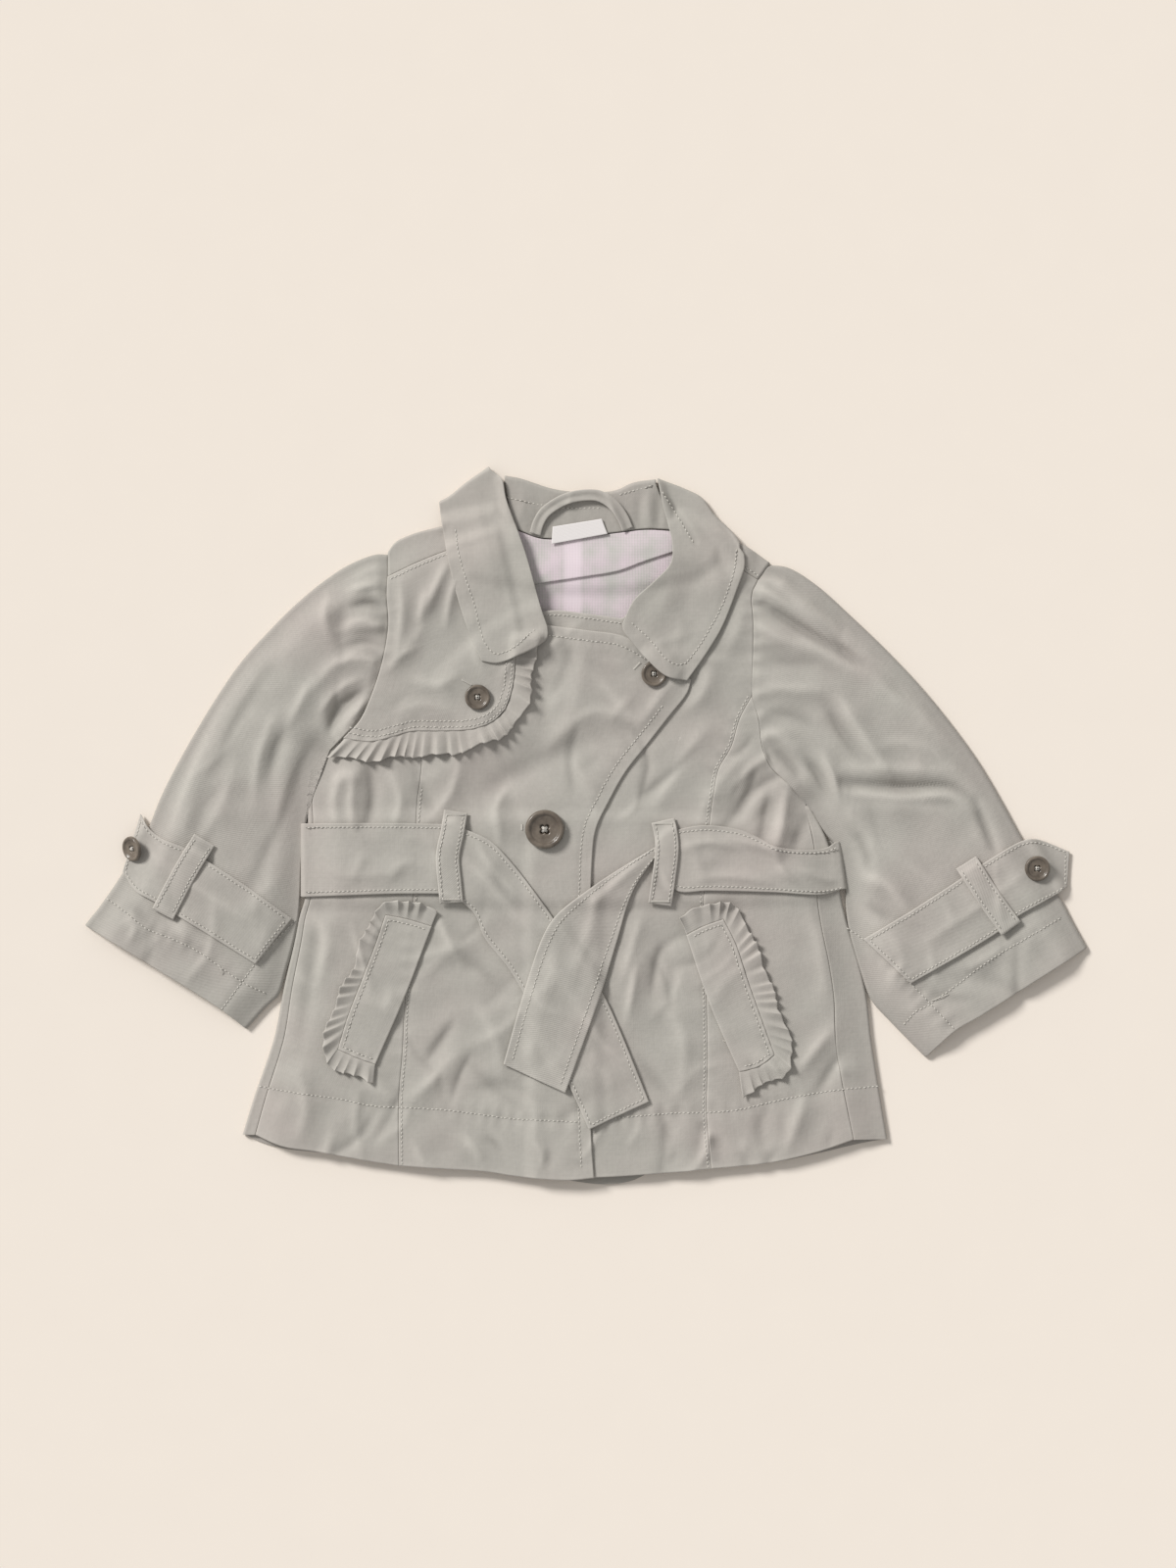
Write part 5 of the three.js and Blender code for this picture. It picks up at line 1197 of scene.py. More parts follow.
leaf_relief += groove(traced(moved(LEAF_SEAM_LEFT, 1.6, 0.8)), 0.8, 1)
for side in ("right", "left"):
    leaf_relief += groove(leaf_rows[side]) + puckers(leaf_rows[side], 0.16, 4, 8)
on_front = body_top + np.maximum((LAYER + 0.3) * flap_share, ruffle_height * ruffle_share)
chest_share = cover(disc(CHEST_BUTTON, SMALL_BUTTON), SMALL_BUTTON * 0.7)
on_button = on_front + (np.maximum(on_front, chest_top) - on_front) * chest_share
collar_under = np.maximum(on_button, STAND_TOP * stand_share) + GAP + leaf_relief
leaf_top = collar_under + CLOTH


def collar_leaf(name, leaf):
    u, v = stops(leaf.width, 1.5), stops(leaf.height, 1.5, ends=(True, False))
    places = leaf.place(u[None, :], v[:, None])
    edge = places[-1]
    inward = unit(leaf.place(u, 0.8 + 0 * u) - edge)
    radius = (reading(collar_under, edge) + CLOTH) / 2
    centre = edge + inward * radius[:, None]
    places = places + (centre - edge)[None] * v[:, None, None] ** 6
    along, up = chart(places)
    half = rounded(np.minimum(np.minimum(along, along[:, -1:] - along), up))
    top = reading(leaf_top, places)
    top = top + (2 * radius - top[-1])[None] * v[:, None] ** 12
    ring = fold_ring(centre, -inward, radius, radius, half[-1])
    tuck = np.linspace(0, COLLAR_TUCK, 5)[:, None, None]
    tucks = sheets(centre + inward * tuck, CLOTH / 2, -half[-1] + 0 * tuck[..., 0])
    faces = joined(sheets(places, top - CLOTH / 2, half), ring, tucks)
    gap = nearest(np.vstack([body_outline, body_outline[:1]]), edge[:, 0], edge[:, 1])[0]
    off_body = ~inside(body_outline, edge[:, 0], edge[:, 1]) & (gap > STAND_FOLD)
    both = off_body[:-1] & off_body[1:]
    rows = np.arange(faces[0].shape[0] - 1)[:, None]
    live = (rows < len(v) - 1) | both[None, :]
    return wall(name, *faces, uv=faces[0][..., :2], live=live)


collar_leaf("collar_leaf_right", leaf_right)
collar_leaf("collar_leaf_left", leaf_left)
print("collar leaves:", len(pieces["collar_leaf_right"].data.polygons), "faces on the right one")

# %% [markdown]
# ## Belt
#
# The belt runs through two loops, round the back and under the coat. Its two ends cross in front in a
# single loose tie. It was pressed flat, so it shows long soft creases, and rows of stitches near both
# of its edges.

# %% The belt's run
BELT_TOP_RIGHT = pairs(-69.3, 0.6, -100, 1.2, -125, 1.2, -151.2, 1)
BELT_FOOT_RIGHT = pairs(-69.3, -36.2, -100, -36.2, -125, -37, -151.2, -38)
BELT_TOP_LEFT = pairs(
    134.7, -8.6, 127.9, -12, 115.4, -13, 99.8, -11, 93.1, -7.4, 81.6, -2.4, 66, 0, 56.7, -0.4, 47.8, -2.6,
    42, -6, 39.2, -9.4,
)
BELT_FOOT_LEFT = pairs(
    138.3, -33.8, 126.9, -36.6, 98.8, -35.4, 65, -34.6, 47.8, -34.6, 42.6, -27, 39.2, -16.4,
)
BELT_WIDTH = 37
BELT_FOLDS = [
    (4, -0.35, -146, -15, -118, -13, -76, -14), (6, 0.3, -140, -24, -118, -27, -96, -24),
    (5, 0.3, -84, -6, -78, -18, -80, -32), (5, 0.35, 52, -8, 60, -20, 62, -32),
    (4, 0.5, 76, -7, 92, -11, 110, -15), (4, -0.35, 72, -16, 96, -20, 124, -21),
    (4, 0.4, 112, -22, 124, -28, 134, -30), (4, 0.25, -120, -3, -118, -16, -124, -30),
    (4, 0.3, -104, -30, -96, -20, -86, -22), (4, 0.4, 60, -28, 76, -27, 96, -30),
    (3.5, 0.5, 100, -14, 104, -24, 112, -31), (4, 0.45, 50, -12, 66, -9, 80, -12),
]
belt_front = [Strip(BELT_FOOT_RIGHT, BELT_TOP_RIGHT), Strip(BELT_FOOT_LEFT, BELT_TOP_LEFT)]
EDGE_STITCH = 2.2
BELT_GROOVE, BELT_PUCKERS = 0.14, (0.08, 3.5, 7)


def inset(patch, margin, side, spacing=3):
    """A chain inside a patch, a margin away from one of its sides."""
    margin_u, margin_v = margin / patch.width, margin / patch.height
    u = np.linspace(margin_u, 1 - margin_u, max(3, round(patch.width / spacing)))
    v = np.linspace(margin_v, 1 - margin_v, max(3, round(patch.height / spacing)))
    lines = {
        "bottom": (u, np.full_like(u, margin_v)),
        "top": (u, np.full_like(u, 1 - margin_v)),
        "left": (np.full_like(v, margin_u), v),
        "right": (np.full_like(v, 1 - margin_u), v),
    }
    return patch.place(*lines[side])


belt_rows = [inset(run, EDGE_STITCH, side) for run in belt_front for side in ("bottom", "top")]
belt_relief = lifted(folds(BELT_FOLDS, 3.9)) + 0.4 * soft_waves + 0.2
belt_relief += sum(groove(row, BELT_GROOVE) for row in belt_rows)
belt_relief += sum(puckers(row, *BELT_PUCKERS) for row in belt_rows)
belt_seat = on_body + belt_relief
across = stops(BELT_WIDTH, 1.5)
belt_half = rounded(np.minimum(across, 1 - across) * BELT_WIDTH)


def arched(name, loop, under):
    """A loop or keeper of thicker cloth, which arches a little across its width."""
    cloth(name, loop, under, LOOP_CLOTH, 1.3, tone_and_shade=1.01, turn=lambda u, v, places: 0.35 * np.sin(np.pi * v))


def belt_fold(run, u, side):
    """The belt's turn at one side: half a ring from the front run down to the back run."""
    edge = run.place(np.full_like(across, u), across)
    radius = (reading(belt_seat, edge) + CLOTH) / 2
    centre = edge - side * radius[:, None] * np.array([1.0, 0.0])
    ring = fold_ring(centre, np.array([float(side), 0.0]), radius, radius, belt_half)
    return centre, edge, radius, ring


def belt_side(run, fold, at_end):
    """A front run of the belt, drawn in near its fold so that it meets the ring."""
    centre, edge, radius, _ = fold
    u = stops(run.width, 1.5, ends=(at_end, not at_end))
    pull = (u if at_end else 1 - u) ** 8
    places = run.place(u[:, None], across[None, :]) + (centre - edge)[None] * pull[:, None, None]
    middle = reading(belt_seat, places) + CLOTH / 2
    last = middle[-1] if at_end else middle[0]
    middle = middle + (2 * radius - CLOTH / 2 - last)[None] * pull[:, None]
    free = (u if at_end else 1 - u) * run.width
    return sheets(places, middle, belt_half[None] * half_round(free, CLOTH / 2)[:, None])


folds_of_belt = [belt_fold(belt_front[0], 1, -1), belt_fold(belt_front[1], 0, 1)]
right_run = belt_side(belt_front[0], folds_of_belt[0], True)
left_run = belt_side(belt_front[1], folds_of_belt[1], False)
u = np.linspace(0, 1, 90)[1:-1]
back_places = belt_back.place(u[:, None], across[None, :])
ends = [fold[0][:, 0] - belt_back.place(np.full_like(across, end), across)[:, 0]
        for fold, end in zip(folds_of_belt, (0, 1))]
back_places[..., 0] += ends[0][None] * (1 - u[:, None]) + ends[1][None] * u[:, None]
back_run = sheets(back_places, CLOTH / 2, -belt_half[None] + 0 * u[:, None])
turn_right, turn_left = folds_of_belt[0][3], [part[::-1] for part in folds_of_belt[1][3]]
belt_faces = joined(right_run, turn_right, back_run, turn_left, left_run)
wall("belt_waist", *belt_faces, uv=belt_faces[0][..., :2], tone_and_shade=1.01)
belt_share = np.maximum(*[cover(run.outline, 5) for run in belt_front])
print("belt:", len(pieces["belt_waist"].data.polygons), "faces")

# %% Belt ends and loops
TAIL_RIGHT = {
    "left": pairs(-68.6, -38.4, -68.6, -0.6),
    "top": pairs(
        -68.6, -0.6, -62.4, -2.6, -50.4, -8.3, -40.6, -18.2, -25.5, -37.4, 8.5, -88.4, 16.1, -104,
        33.3, -146.1,
    ),
    "bottom": pairs(
        -68.6, -38.4, -64.4, -41.6, -58.6, -47.4, -53.6, -59.4, -39, -78.5, -10.6, -134, 1.6, -160.7,
    ),
    "right": pairs(1.6, -160.7, 33.3, -146.1),
}
TAIL_LEFT = {
    "left": pairs(
        37.9, -10.6, 17.7, -22.9, 3.6, -32.2, -16.1, -47.8, -22.4, -57.7, -31.7, -84.2, -43.7, -126.4,
    ),
    "right": pairs(38.2, -14.6, 25, -34.3, 16.1, -62.4, 8.8, -86.3, -10.9, -141.4),
    "top": pairs(37.9, -10.6, 38.2, -14.6),
    "bottom": pairs(-43.7, -126.4, -10.9, -141.4),
}
LOOP_RIGHT = pairs(-68.8, 7.4, -70.6, -4, -73, -16, -72, -30, -71, -41)
LOOP_LEFT = pairs(40.6, 2.6, 42.4, -6, 42.7, -14, 41, -28, 39, -42)
BELT_LOOP_WIDTH, LOOP_CLOTH = 12.5, 1.3
TAIL_FOLDS = [
    (6, 0.5, -62, -20, -48, -34, -30, -56), (4, -0.4, -50, -22, -40, -38, -30, -44),
    (8, 0.3, -20, -70, -6, -92, 2, -110), (5, 0.3, 8, -126, 14, -140),
    (5, 0.5, 30, -18, 14, -32, -2, -46), (5, -0.5, 2, -40, -6, -56, -14, -72),
    (7, 0.4, -14, -60, -20, -82, -26, -104), (5, 0.3, -28, -112, -32, -124),
    (4, 0.5, -58, -8, -50, -22, -38, -36), (4, 0.35, 6, -36, 0, -58, -8, -80),
    (5, 0.35, -30, -84, -22, -96, -12, -100), (4, 0.35, 0, -100, 10, -116, 18, -124),
]
tails = {"right": Patch(**TAIL_RIGHT), "left": Patch(**TAIL_LEFT)}
tail_rows = {
    "right": [inset(tails["right"], EDGE_STITCH, side) for side in ("bottom", "top", "right")],
    "left": [inset(tails["left"], EDGE_STITCH, side) for side in ("left", "right", "bottom")],
}
tail_relief = lifted(folds(TAIL_FOLDS, 3.5)) + 0.5 * soft_waves + 0.2
tail_share = {side: cover(patch.outline, 5) for side, patch in tails.items()}
tail_under = {"right": on_body + tail_relief, "left": on_body + tail_relief + LAYER * tail_share["right"]}
for side, patch in tails.items():
    rows = sum(groove(row, BELT_GROOVE) + puckers(row, *BELT_PUCKERS) for row in tail_rows[side])
    tail_under[side] = tail_under[side] + rows
    cloth("belt_tail_" + side, patch, tail_under[side], spacing=1.4, tone_and_shade=1.005, creases=tail_relief)
on_belt = belt_seat + LAYER * np.maximum(belt_share, tail_share["right"] + tail_share["left"])
loops = {"right": band(LOOP_RIGHT, BELT_LOOP_WIDTH), "left": band(LOOP_LEFT, BELT_LOOP_WIDTH)}
loop_rows = {side: [inset(loop, 1.9, edge) for edge in ("bottom", "top")] for side, loop in loops.items()}
for side, loop in loops.items():
    rows = sum(groove(row, 0.16) for row in loop_rows[side])
    arched("belt_loop_" + side, loop, on_belt + rows)
print("belt ends:", round(tails["right"].width), "and", round(tails["left"].height), "mm long")

# %% [markdown]
# ## Sleeves
#
# A three-quarter sleeve lies on each side as a flat tube. Its head is gathered into the armhole, its
# underarm seam has turned to the top, and a strap, a keeper and a button hold the cuff. The tube is one
# ring of points round the sleeve for each step along it.

# %% Folds of the sleeves
SLEEVE_OUTER_RIGHT = pairs(
    -106, 143.8, -112, 143.6, -126.4, 138, -139.4, 129.5, -153.9, 117.5, -168.5, 103, -183, 86.8,
    -196.6, 67.1, -208.5, 47.3, -218.9, 28.6, -226, 14, -232.5, -2, -242.5, -20, -256, -40.5, -265.7, -53,
)
SLEEVE_INNER_RIGHT = pairs(
    -141.8, 38.2, -146, 29.5, -148.2, 20.4, -148.4, 10, -149.4, 2, -151.4, -20, -151.8, -38, -152.6, -49,
    -155, -62, -159.6, -79, -163, -90, -169.5, -96.5, -179.9, -108.2,
)
CUFF_RIGHT = pairs(-265.7, -53, -230, -74.5, -192.9, -97.8, -179.9, -108.2)
SLEEVE_OUTER_LEFT = pairs(
    98.4, 138.3, 107.6, 136.6, 122.2, 127.9, 142.5, 109.7, 160.2, 92.6, 177.8, 73.8, 193.4, 54.6, 208, 34.3,
    220, 14, 231.4, -6.8, 242, -24, 251.5, -38.5, 258, -51, 265.7, -65,
)
SLEEVE_INNER_LEFT = pairs(
    120, 11, 122.5, 3.5, 127, -4, 132, -10, 136.8, -16, 138, -34, 138.4, -46, 141, -62, 146.4, -80,
    151.6, -93, 162.2, -105, 179.9, -123.2,
)
CUFF_LEFT = pairs(265.7, -65, 251.7, -73.8, 208, -101.4, 195.5, -108.7, 179.9, -123.2)
SLEEVE_LOFT, SLEEVE_EDGE, MOST_LOFT = 4, 17, 9.5
SLEEVE_FOLDS = [
    (3.6, 1.1, -105, 121, -113, 126, -124, 125), (3.2, 0.8, -105, 136, -113, 136, -124, 131),
    (3, -0.9, -106, 113, -114, 117, -124, 116), (3.6, 0.8, -107, 104, -116, 108, -128, 106),
    (3.4, -0.6, -108, 95, -118, 97, -128, 94), (4, 0.6, -109, 86, -120, 88, -130, 86),
    (5, 0.9, -137, 124, -138, 112, -136, 100), (6, -0.5, -128, 118, -130, 100, -128, 84),
    (4.5, -1.1, -121, 70, -130, 63, -136, 50), (5, 0.7, -119, 78, -130, 72, -140, 60),
    (4, -0.7, -131, 74, -133, 62, -135, 48), (6, 1.1, -145, 76, -153, 62, -163, 46),
    (5, -0.8, -152, 66, -162, 46, -168, 26), (4.5, -0.7, -143, 44, -150, 30, -153, 16),
    (6, 0.6, -148, 44, -158, 22, -164, -2), (7, 1, -176, 90, -198, 54, -211, 21, -219, 0),
    (7, -0.6, -164, 88, -184, 56, -196, 28), (8, -0.7, -150, 26, -164, -4, -178, -34),
    (7, 0.5, -186, 32, -194, 8, -204, -8), (6, 0.5, -196, -66, -210, -58, -222, -50),
    (5, -0.5, -230, -52, -240, -44), (5, 1.5, 92, 126, 114, 112, 133, 96),
    (3.6, -1.6, 95, 116, 118, 102, 146, 86), (4, 0.8, 116, 97, 130, 88, 146, 79),
    (3.2, 1, 92, 132, 98, 130, 108, 126), (3.2, -0.8, 95, 136, 104, 133, 114, 126),
    (4.5, 0.8, 90, 106, 104, 98, 118, 92), (6, -0.6, 90, 90, 106, 86, 124, 86),
    (6, 0.8, 92, 75, 108, 72, 127, 71), (4.5, 0.8, 98, 50, 106, 44, 114, 38),
    (3.6, -0.8, 100, 40, 108, 32, 114, 24), (5, -0.6, 94, 60, 108, 58, 122, 52),
    (5, 1.1, 135, 66, 143, 53, 153, 38, 161, 26), (5, -0.9, 128, 62, 135, 50, 146, 34),
    (3.4, -1.3, 136, 23, 166, 20, 194, 20, 206, 13), (3.2, 0.9, 138, 17, 166, 14.5, 194, 14.5, 204, 8),
    (6, 0.8, 138, 31, 166, 29, 194, 29), (7, 0.6, 142, 10, 170, 9, 196, 8),
    (3.4, -1.1, 206, 12, 211, 0, 217, -16), (8, 0.7, 160, 72, 180, 56, 196, 38),
    (6, -0.5, 144, 92, 166, 70, 178, 52), (5, 1, 144, -26, 160, -33, 172, -45),
    (4.5, -0.6, 148, -42, 162, -50), (5, 0.6, 200, -76, 214, -70, 226, -60),
    (5, -0.5, 182, -88, 194, -92, 204, -92), (4, -1.1, 117, 34, 123, 26, 127, 16),
    (4, 1, 126, 36, 131, 26, 134, 14), (4.5, -1, 142, -4, 147, -12, 150, -22),
    (6, 0.6, -120, 92, -134, 84, -146, 70), (6, 0.7, -164, 60, -172, 38, -176, 12),
    (6, 0.5, 152, 40, 166, 44, 184, 40),
    (3.2, -1, 92, 129, 105, 119.6, 118.6, 108.2, 131, 98.8, 142.5, 87.4),
    (5, 0.45, 98, 130, 112, 120, 126, 108, 140, 97), (2.4, -0.5, 93, 134, 103, 126.9),
    (2.4, -0.6, 87, 117.3, 97.2, 116.5), (2.6, -0.6, -103, 122.7, -110, 124.6, -117, 125.8),
    (3.2, 0.5, -132, 102.4, -120, 104.5, -106, 104.8), (3, -0.7, -131, 57, -126, 64, -118, 71),
    (3.4, 0.6, -127, 53, -121, 60, -113, 67),
]
UNDERARM_SEAMS = {
    "right": pairs(-153.4, -49.9, -164, -60.5, -174.2, -72.3, -184, -85.5, -192.9, -97.8),
    "left": pairs(137.8, -54.1, 146.6, -60.3, 171.6, -83.7, 195.5, -108.7),
}
CUFF_STITCHES = {
    "right": pairs(
        -254.3, -38.5, -241.8, -47.3, -231.9, -55.1, -219.4, -59.8, -205.4, -66.6, -195, -73.8,
        -181.5, -83.2, -169, -89.4,
    ),
    "left": pairs(
        168, -106.1, 174.2, -98.8, 182, -94.6, 195, -85.3, 213.7, -71.2, 230.9, -60.8, 242.3, -54.1,
        251.7, -48.9,
    ),
}
sleeve_wear = [
    *scattered(30, (-245, -80), (-125, 125), 62, 24, (16, 54), (2.6, 7)),
    *scattered(30, (125, -100), (245, 120), -56, 26, (16, 54), (2.6, 7)),
]
sleeve_relief = folds(SLEEVE_FOLDS) + folds(sleeve_wear) + soft_waves
for side, armhole in (("right", ARMHOLE_RIGHT), ("left", ARMHOLE_LEFT)):
    head = traced(armhole[4:])
    sleeve_relief += puckers(head, 1.3, 12, 9.5) + puckers(traced(armhole), 0.3, 5, 6)
    for row in (UNDERARM_SEAMS[side], CUFF_STITCHES[side]):
        chain = traced(row)
        sleeve_relief += groove(chain, 0.3) + puckers(chain, 0.28, 5, 8)
print("sleeve folds:", len(SLEEVE_FOLDS))

# %% The sleeves
sleeve_share, sleeve_top, sleeve_seat = {}, {}, {}


def sleeve(side, outer, inner, armhole, cuff):
    """A flat tube. For each step v along it, the points go over the top from the outer edge to the inner
    one, round the inner fold, back under on the table, and round the outer fold."""
    seam = armhole[::-1]
    patch = Patch(seam, cuff, [seam[0], *outer[1:]], [seam[-1], *inner[1:]])
    inward = np.minimum(*[nearest(Line(line).sample())[0] for line in (outer, inner)])
    share = smooth(inward / SLEEVE_EDGE)
    puff, laid = [
        MOST_LOFT - lifted(MOST_LOFT - lifted(share * (SLEEVE_LOFT + relief)))
        for relief in (sleeve_relief, bridged(sleeve_relief))
    ]
    flat_top = 2 * FOLD_RADIUS
    v = stops(patch.height, 1.5)[:, None]
    width = np.linalg.norm(patch.place(0 * v, v) - patch.place(0 * v + 1, v), axis=-1)
    start = FOLD_RADIUS / width
    place = lambda w: patch.place(start + (1 - 2 * start) * w[None, :], v)
    over = place(np.linspace(0, 1, 90))
    from_seam = v * patch.height
    at_seam = reading(front_under, Line(seam).at(np.linspace(0, 1, 90))) + CLOTH
    blend = 1 - smooth(from_seam / 5)
    top = blend * at_seam[None, :] + (1 - blend) * (flat_top + reading(puff, over))
    half = rounded(np.minimum(v, 1 - v) * patch.height)
    below = place(np.linspace(1, 0, 40))
    upper = sheets(over, top - CLOTH / 2, half)
    lower = sheets(below, CLOTH / 2, -half + 0 * below[..., 0])
    ends = patch.place(0 * v, v)[:, 0], patch.place(0 * v + 1, v)[:, 0]
    outward = unit(ends[0] - ends[1])
    rings = []
    for w, facing in ((1, -outward), (0, outward)):
        ring = fold_ring(place(np.array([w]))[:, 0], facing, FOLD_RADIUS, FOLD_RADIUS, half[:, 0])
        rings.append([part.transpose(1, 0, 2) for part in ring])
    faces = joined(upper, rings[0], lower, [part[:, ::-1] for part in rings[1]], axis=1)
    uv = np.dstack([chart(faces[0])[0], from_seam + 0 * faces[0][..., 0]])
    # The sleeve's top gets painted shade in the hollows of its puff and folds and painted light on their
    # crests.
    wall("sleeve_" + side, *faces, uv=uv, ring=True, tone_and_shade=with_painted_shade(0.99, puff, faces[0]))
    sleeve_share[side] = cover(patch.outline, 7)
    sleeve_top[side] = sleeve_share[side] * (flat_top + puff)
    sleeve_seat[side] = sleeve_share[side] * (flat_top + np.maximum(puff, laid))


sleeve("right", SLEEVE_OUTER_RIGHT, SLEEVE_INNER_RIGHT, ARMHOLE_RIGHT, CUFF_RIGHT)
sleeve("left", SLEEVE_OUTER_LEFT, SLEEVE_INNER_LEFT, ARMHOLE_LEFT, CUFF_LEFT)
print("sleeves:", len(pieces["sleeve_left"].data.polygons), "faces each")

# %% Straps, keepers and cuff buttons
STRAP_RIGHT = {
    "top": pairs(-236.1, 6.2, -230.9, -2, -223.6, -7.3, -212.2, -12, -182, -30.4, -155.6, -49.4),
    "bottom": pairs(-245.4, -24.4, -238.7, -34.3, -227.8, -40.6, -200, -57.4, -174.7, -73.3),
}
STRAP_LEFT = {
    "top": pairs(
        146.6, -60.3, 171.6, -45.2, 198.1, -28.1, 209.6, -20.3, 230.9, -8.3, 238.2, -7.3, 256.4, -14,
    ),
    "bottom": pairs(171.6, -83.7, 217.4, -56.7, 227.8, -48.4, 250.1, -36, 255.3, -32.2),
}
KEEPER_RIGHT = pairs(-201.6, -7.6, -212, -25, -223.6, -47)
KEEPER_LEFT = pairs(200.8, -19.6, 212.6, -38, 224.6, -54.6)
KEEPER_WIDTH = 12.6
STRAP_FOLDS = [
    (5, 0.4, -232, -14, -210, -30, -176, -52), (4, -0.3, -226, -2, -206, -18),
    (5, 0.4, 236, -22, 212, -40, 176, -64), (4, -0.3, 214, -26, 196, -40),
]
strap_relief = lifted(folds(STRAP_FOLDS)) + 0.4 * soft_waves + 0.2
strap_rows, keeper_rows, strap_tops, keeper_tops = {}, {}, {}, {}
for side, strap, keeper, spot, tilt, lean in (
    ("right", STRAP_RIGHT, KEEPER_RIGHT, (-239.2, -12.2), 0.75, 0.28),
    ("left", STRAP_LEFT, KEEPER_LEFT, (238.7, -22.9), 0, 0),
):
    place = Strip(strap["bottom"], strap["top"])
    strap_rows[side] = [inset(place, 2, edge) for edge in ("bottom", "top", "left", "right")]
    grooves = sum(groove(row, BELT_GROOVE) for row in strap_rows[side])
    strap_under = sleeve_seat[side] + GAP + strap_relief + grooves
    cloth("cuff_strap_" + side, place, strap_under, spacing=1.3, tone_and_shade=1.005)
    strap_tops[side] = strap_under + CLOTH
    on_strap = sleeve_seat[side] + (LAYER + 0.3) * cover(place.outline, 5) + GAP
    loop = band(keeper, KEEPER_WIDTH)
    keeper_rows[side] = [inset(loop, 1.9, edge) for edge in ("bottom", "top")]
    keeper_under = on_strap + sum(groove(row, 0.16) for row in keeper_rows[side])
    arched("cuff_keeper_" + side, loop, keeper_under)
    keeper_tops[side] = keeper_under + LOOP_CLOTH + 0.2
    seat = seat_of(spot, SMALL_BUTTON, strap_tops[side]) + (0.6 if tilt else 0)
    button_threads.append(button("button_cuff_" + side, spot, SMALL_BUTTON, seat, tilt, lean))
print("cuffs done:", list(strap_tops))

# %% [markdown]
# ## Sewing
#
# Rows of topstitching run beside most seams, with a stitch about every 2.3 mm. Each stitch is a small
# six-sided thread that dips into the cloth at both of its ends. One function sews a row along any chain
# of points, and lays it on the piece's own top.

# %% Threads and rows of stitches
# The last length here and the second arch below shape the short dark threads laid at the needle holes as
# painted shade.
STITCH_PITCH, STITCH_LENGTH, THREAD_RADIUS, NEEDLE_SHADE_LENGTH = 2.3, 1.55, 0.3, 0.75
STITCH_ARCH, NEEDLE_SHADE_ARCH = np.array([-0.22, 0.14, 0.14, -0.22]), np.array([-0.08, -0.08])
SIDES = 6


def thread_mesh(paths, radius, taper=0.62):
    """Threads along paths, an array of threads by points by 3. Each point carries a ring of six, turned
    round the path's own direction, and two four-sided faces close each end."""
    count, steps = paths.shape[:2]
    ahead = unit(np.gradient(paths, axis=1))
    beside = unit(np.cross(ahead, [0, 0, 1]) + [1e-6, 0, 0])
    above = np.cross(beside, ahead)
    turn = np.arange(SIDES) * TURN / SIDES
    size = np.full(steps, radius)
    size[[0, -1]] *= taper
    ring = beside[:, :, None] * np.cos(turn)[:, None] + above[:, :, None] * np.sin(turn)[:, None]
    points = paths[:, :, None] + ring * size[None, :, None, None]
    index = np.arange(steps * SIDES).reshape(steps, SIDES)
    after = np.roll(index, -1, axis=1)
    sides = np.stack([index[:-1], after[:-1], after[1:], index[1:]], -1).reshape(-1, 4)
    start, end = index[0], index[-1]
    caps = np.array([start[[0, 3, 2, 1]], start[[0, 5, 4, 3]], end[[0, 1, 2, 3]], end[[0, 3, 4, 5]]])
    faces = np.vstack([sides, caps])[None] + (np.arange(count) * steps * SIDES)[:, None, None]
    return points.reshape(-1, 3), faces.reshape(-1, 4)


def stitches(points, top):
    """The paths of the stitches of one row and of short dark threads between them, which are painted shade
    in the needle holes. Each starts a pitch after the one before, and is shifted by a hair."""
    run = arc(points)
    middle = np.arange(STITCH_PITCH * 0.6, run[-1] - STITCH_PITCH * 0.4, STITCH_PITCH)
    middle = middle + random.uniform(-0.12, 0.12, len(middle))
    shift = random.normal(0, 0.07, (len(middle), 1, 2))
    batches = []
    for start, length, arch, radius, tone_and_shade in (
        (0, STITCH_LENGTH, STITCH_ARCH, THREAD_RADIUS, 1),
        # A short dark thread between two stitches: painted shade in the needle hole.
        (STITCH_PITCH / 2, NEEDLE_SHADE_LENGTH, NEEDLE_SHADE_ARCH, 0.22, 0.16),
    ):
        share = np.linspace(-0.5, 0.5, len(arch))[None] * length + middle[:, None] + start
        places = np.stack([np.interp(share, run, points[:, axis]) for axis in (0, 1)], -1) + shift
        height = reading(top, places).mean(1)[:, None] + arch[None] + 0.02
        batches.append((np.dstack([places, height]), radius, tone_and_shade))
    return batches


def sewing(name, batches):
    """One piece of all the threads in the batches: each has its paths, their radius and their brightness,
    which for the dark threads at the needle holes is painted shade.
    """
    points, faces, tones, used = [], [], [], 0
    for paths, radius, tone_and_shade in batches:
        batch_points, batch_faces = thread_mesh(paths, radius)
        points.append(batch_points)
        faces.append(batch_faces + used)
        tones.append(np.full(len(batch_points), tone_and_shade))
        used += len(batch_points)
    return make_mesh(name, np.vstack(points), np.vstack(faces), tone_and_shade=np.concatenate(tones))


def sewn_rows(rows):
    return [batch for points, top in rows for batch in stitches(points, top)]


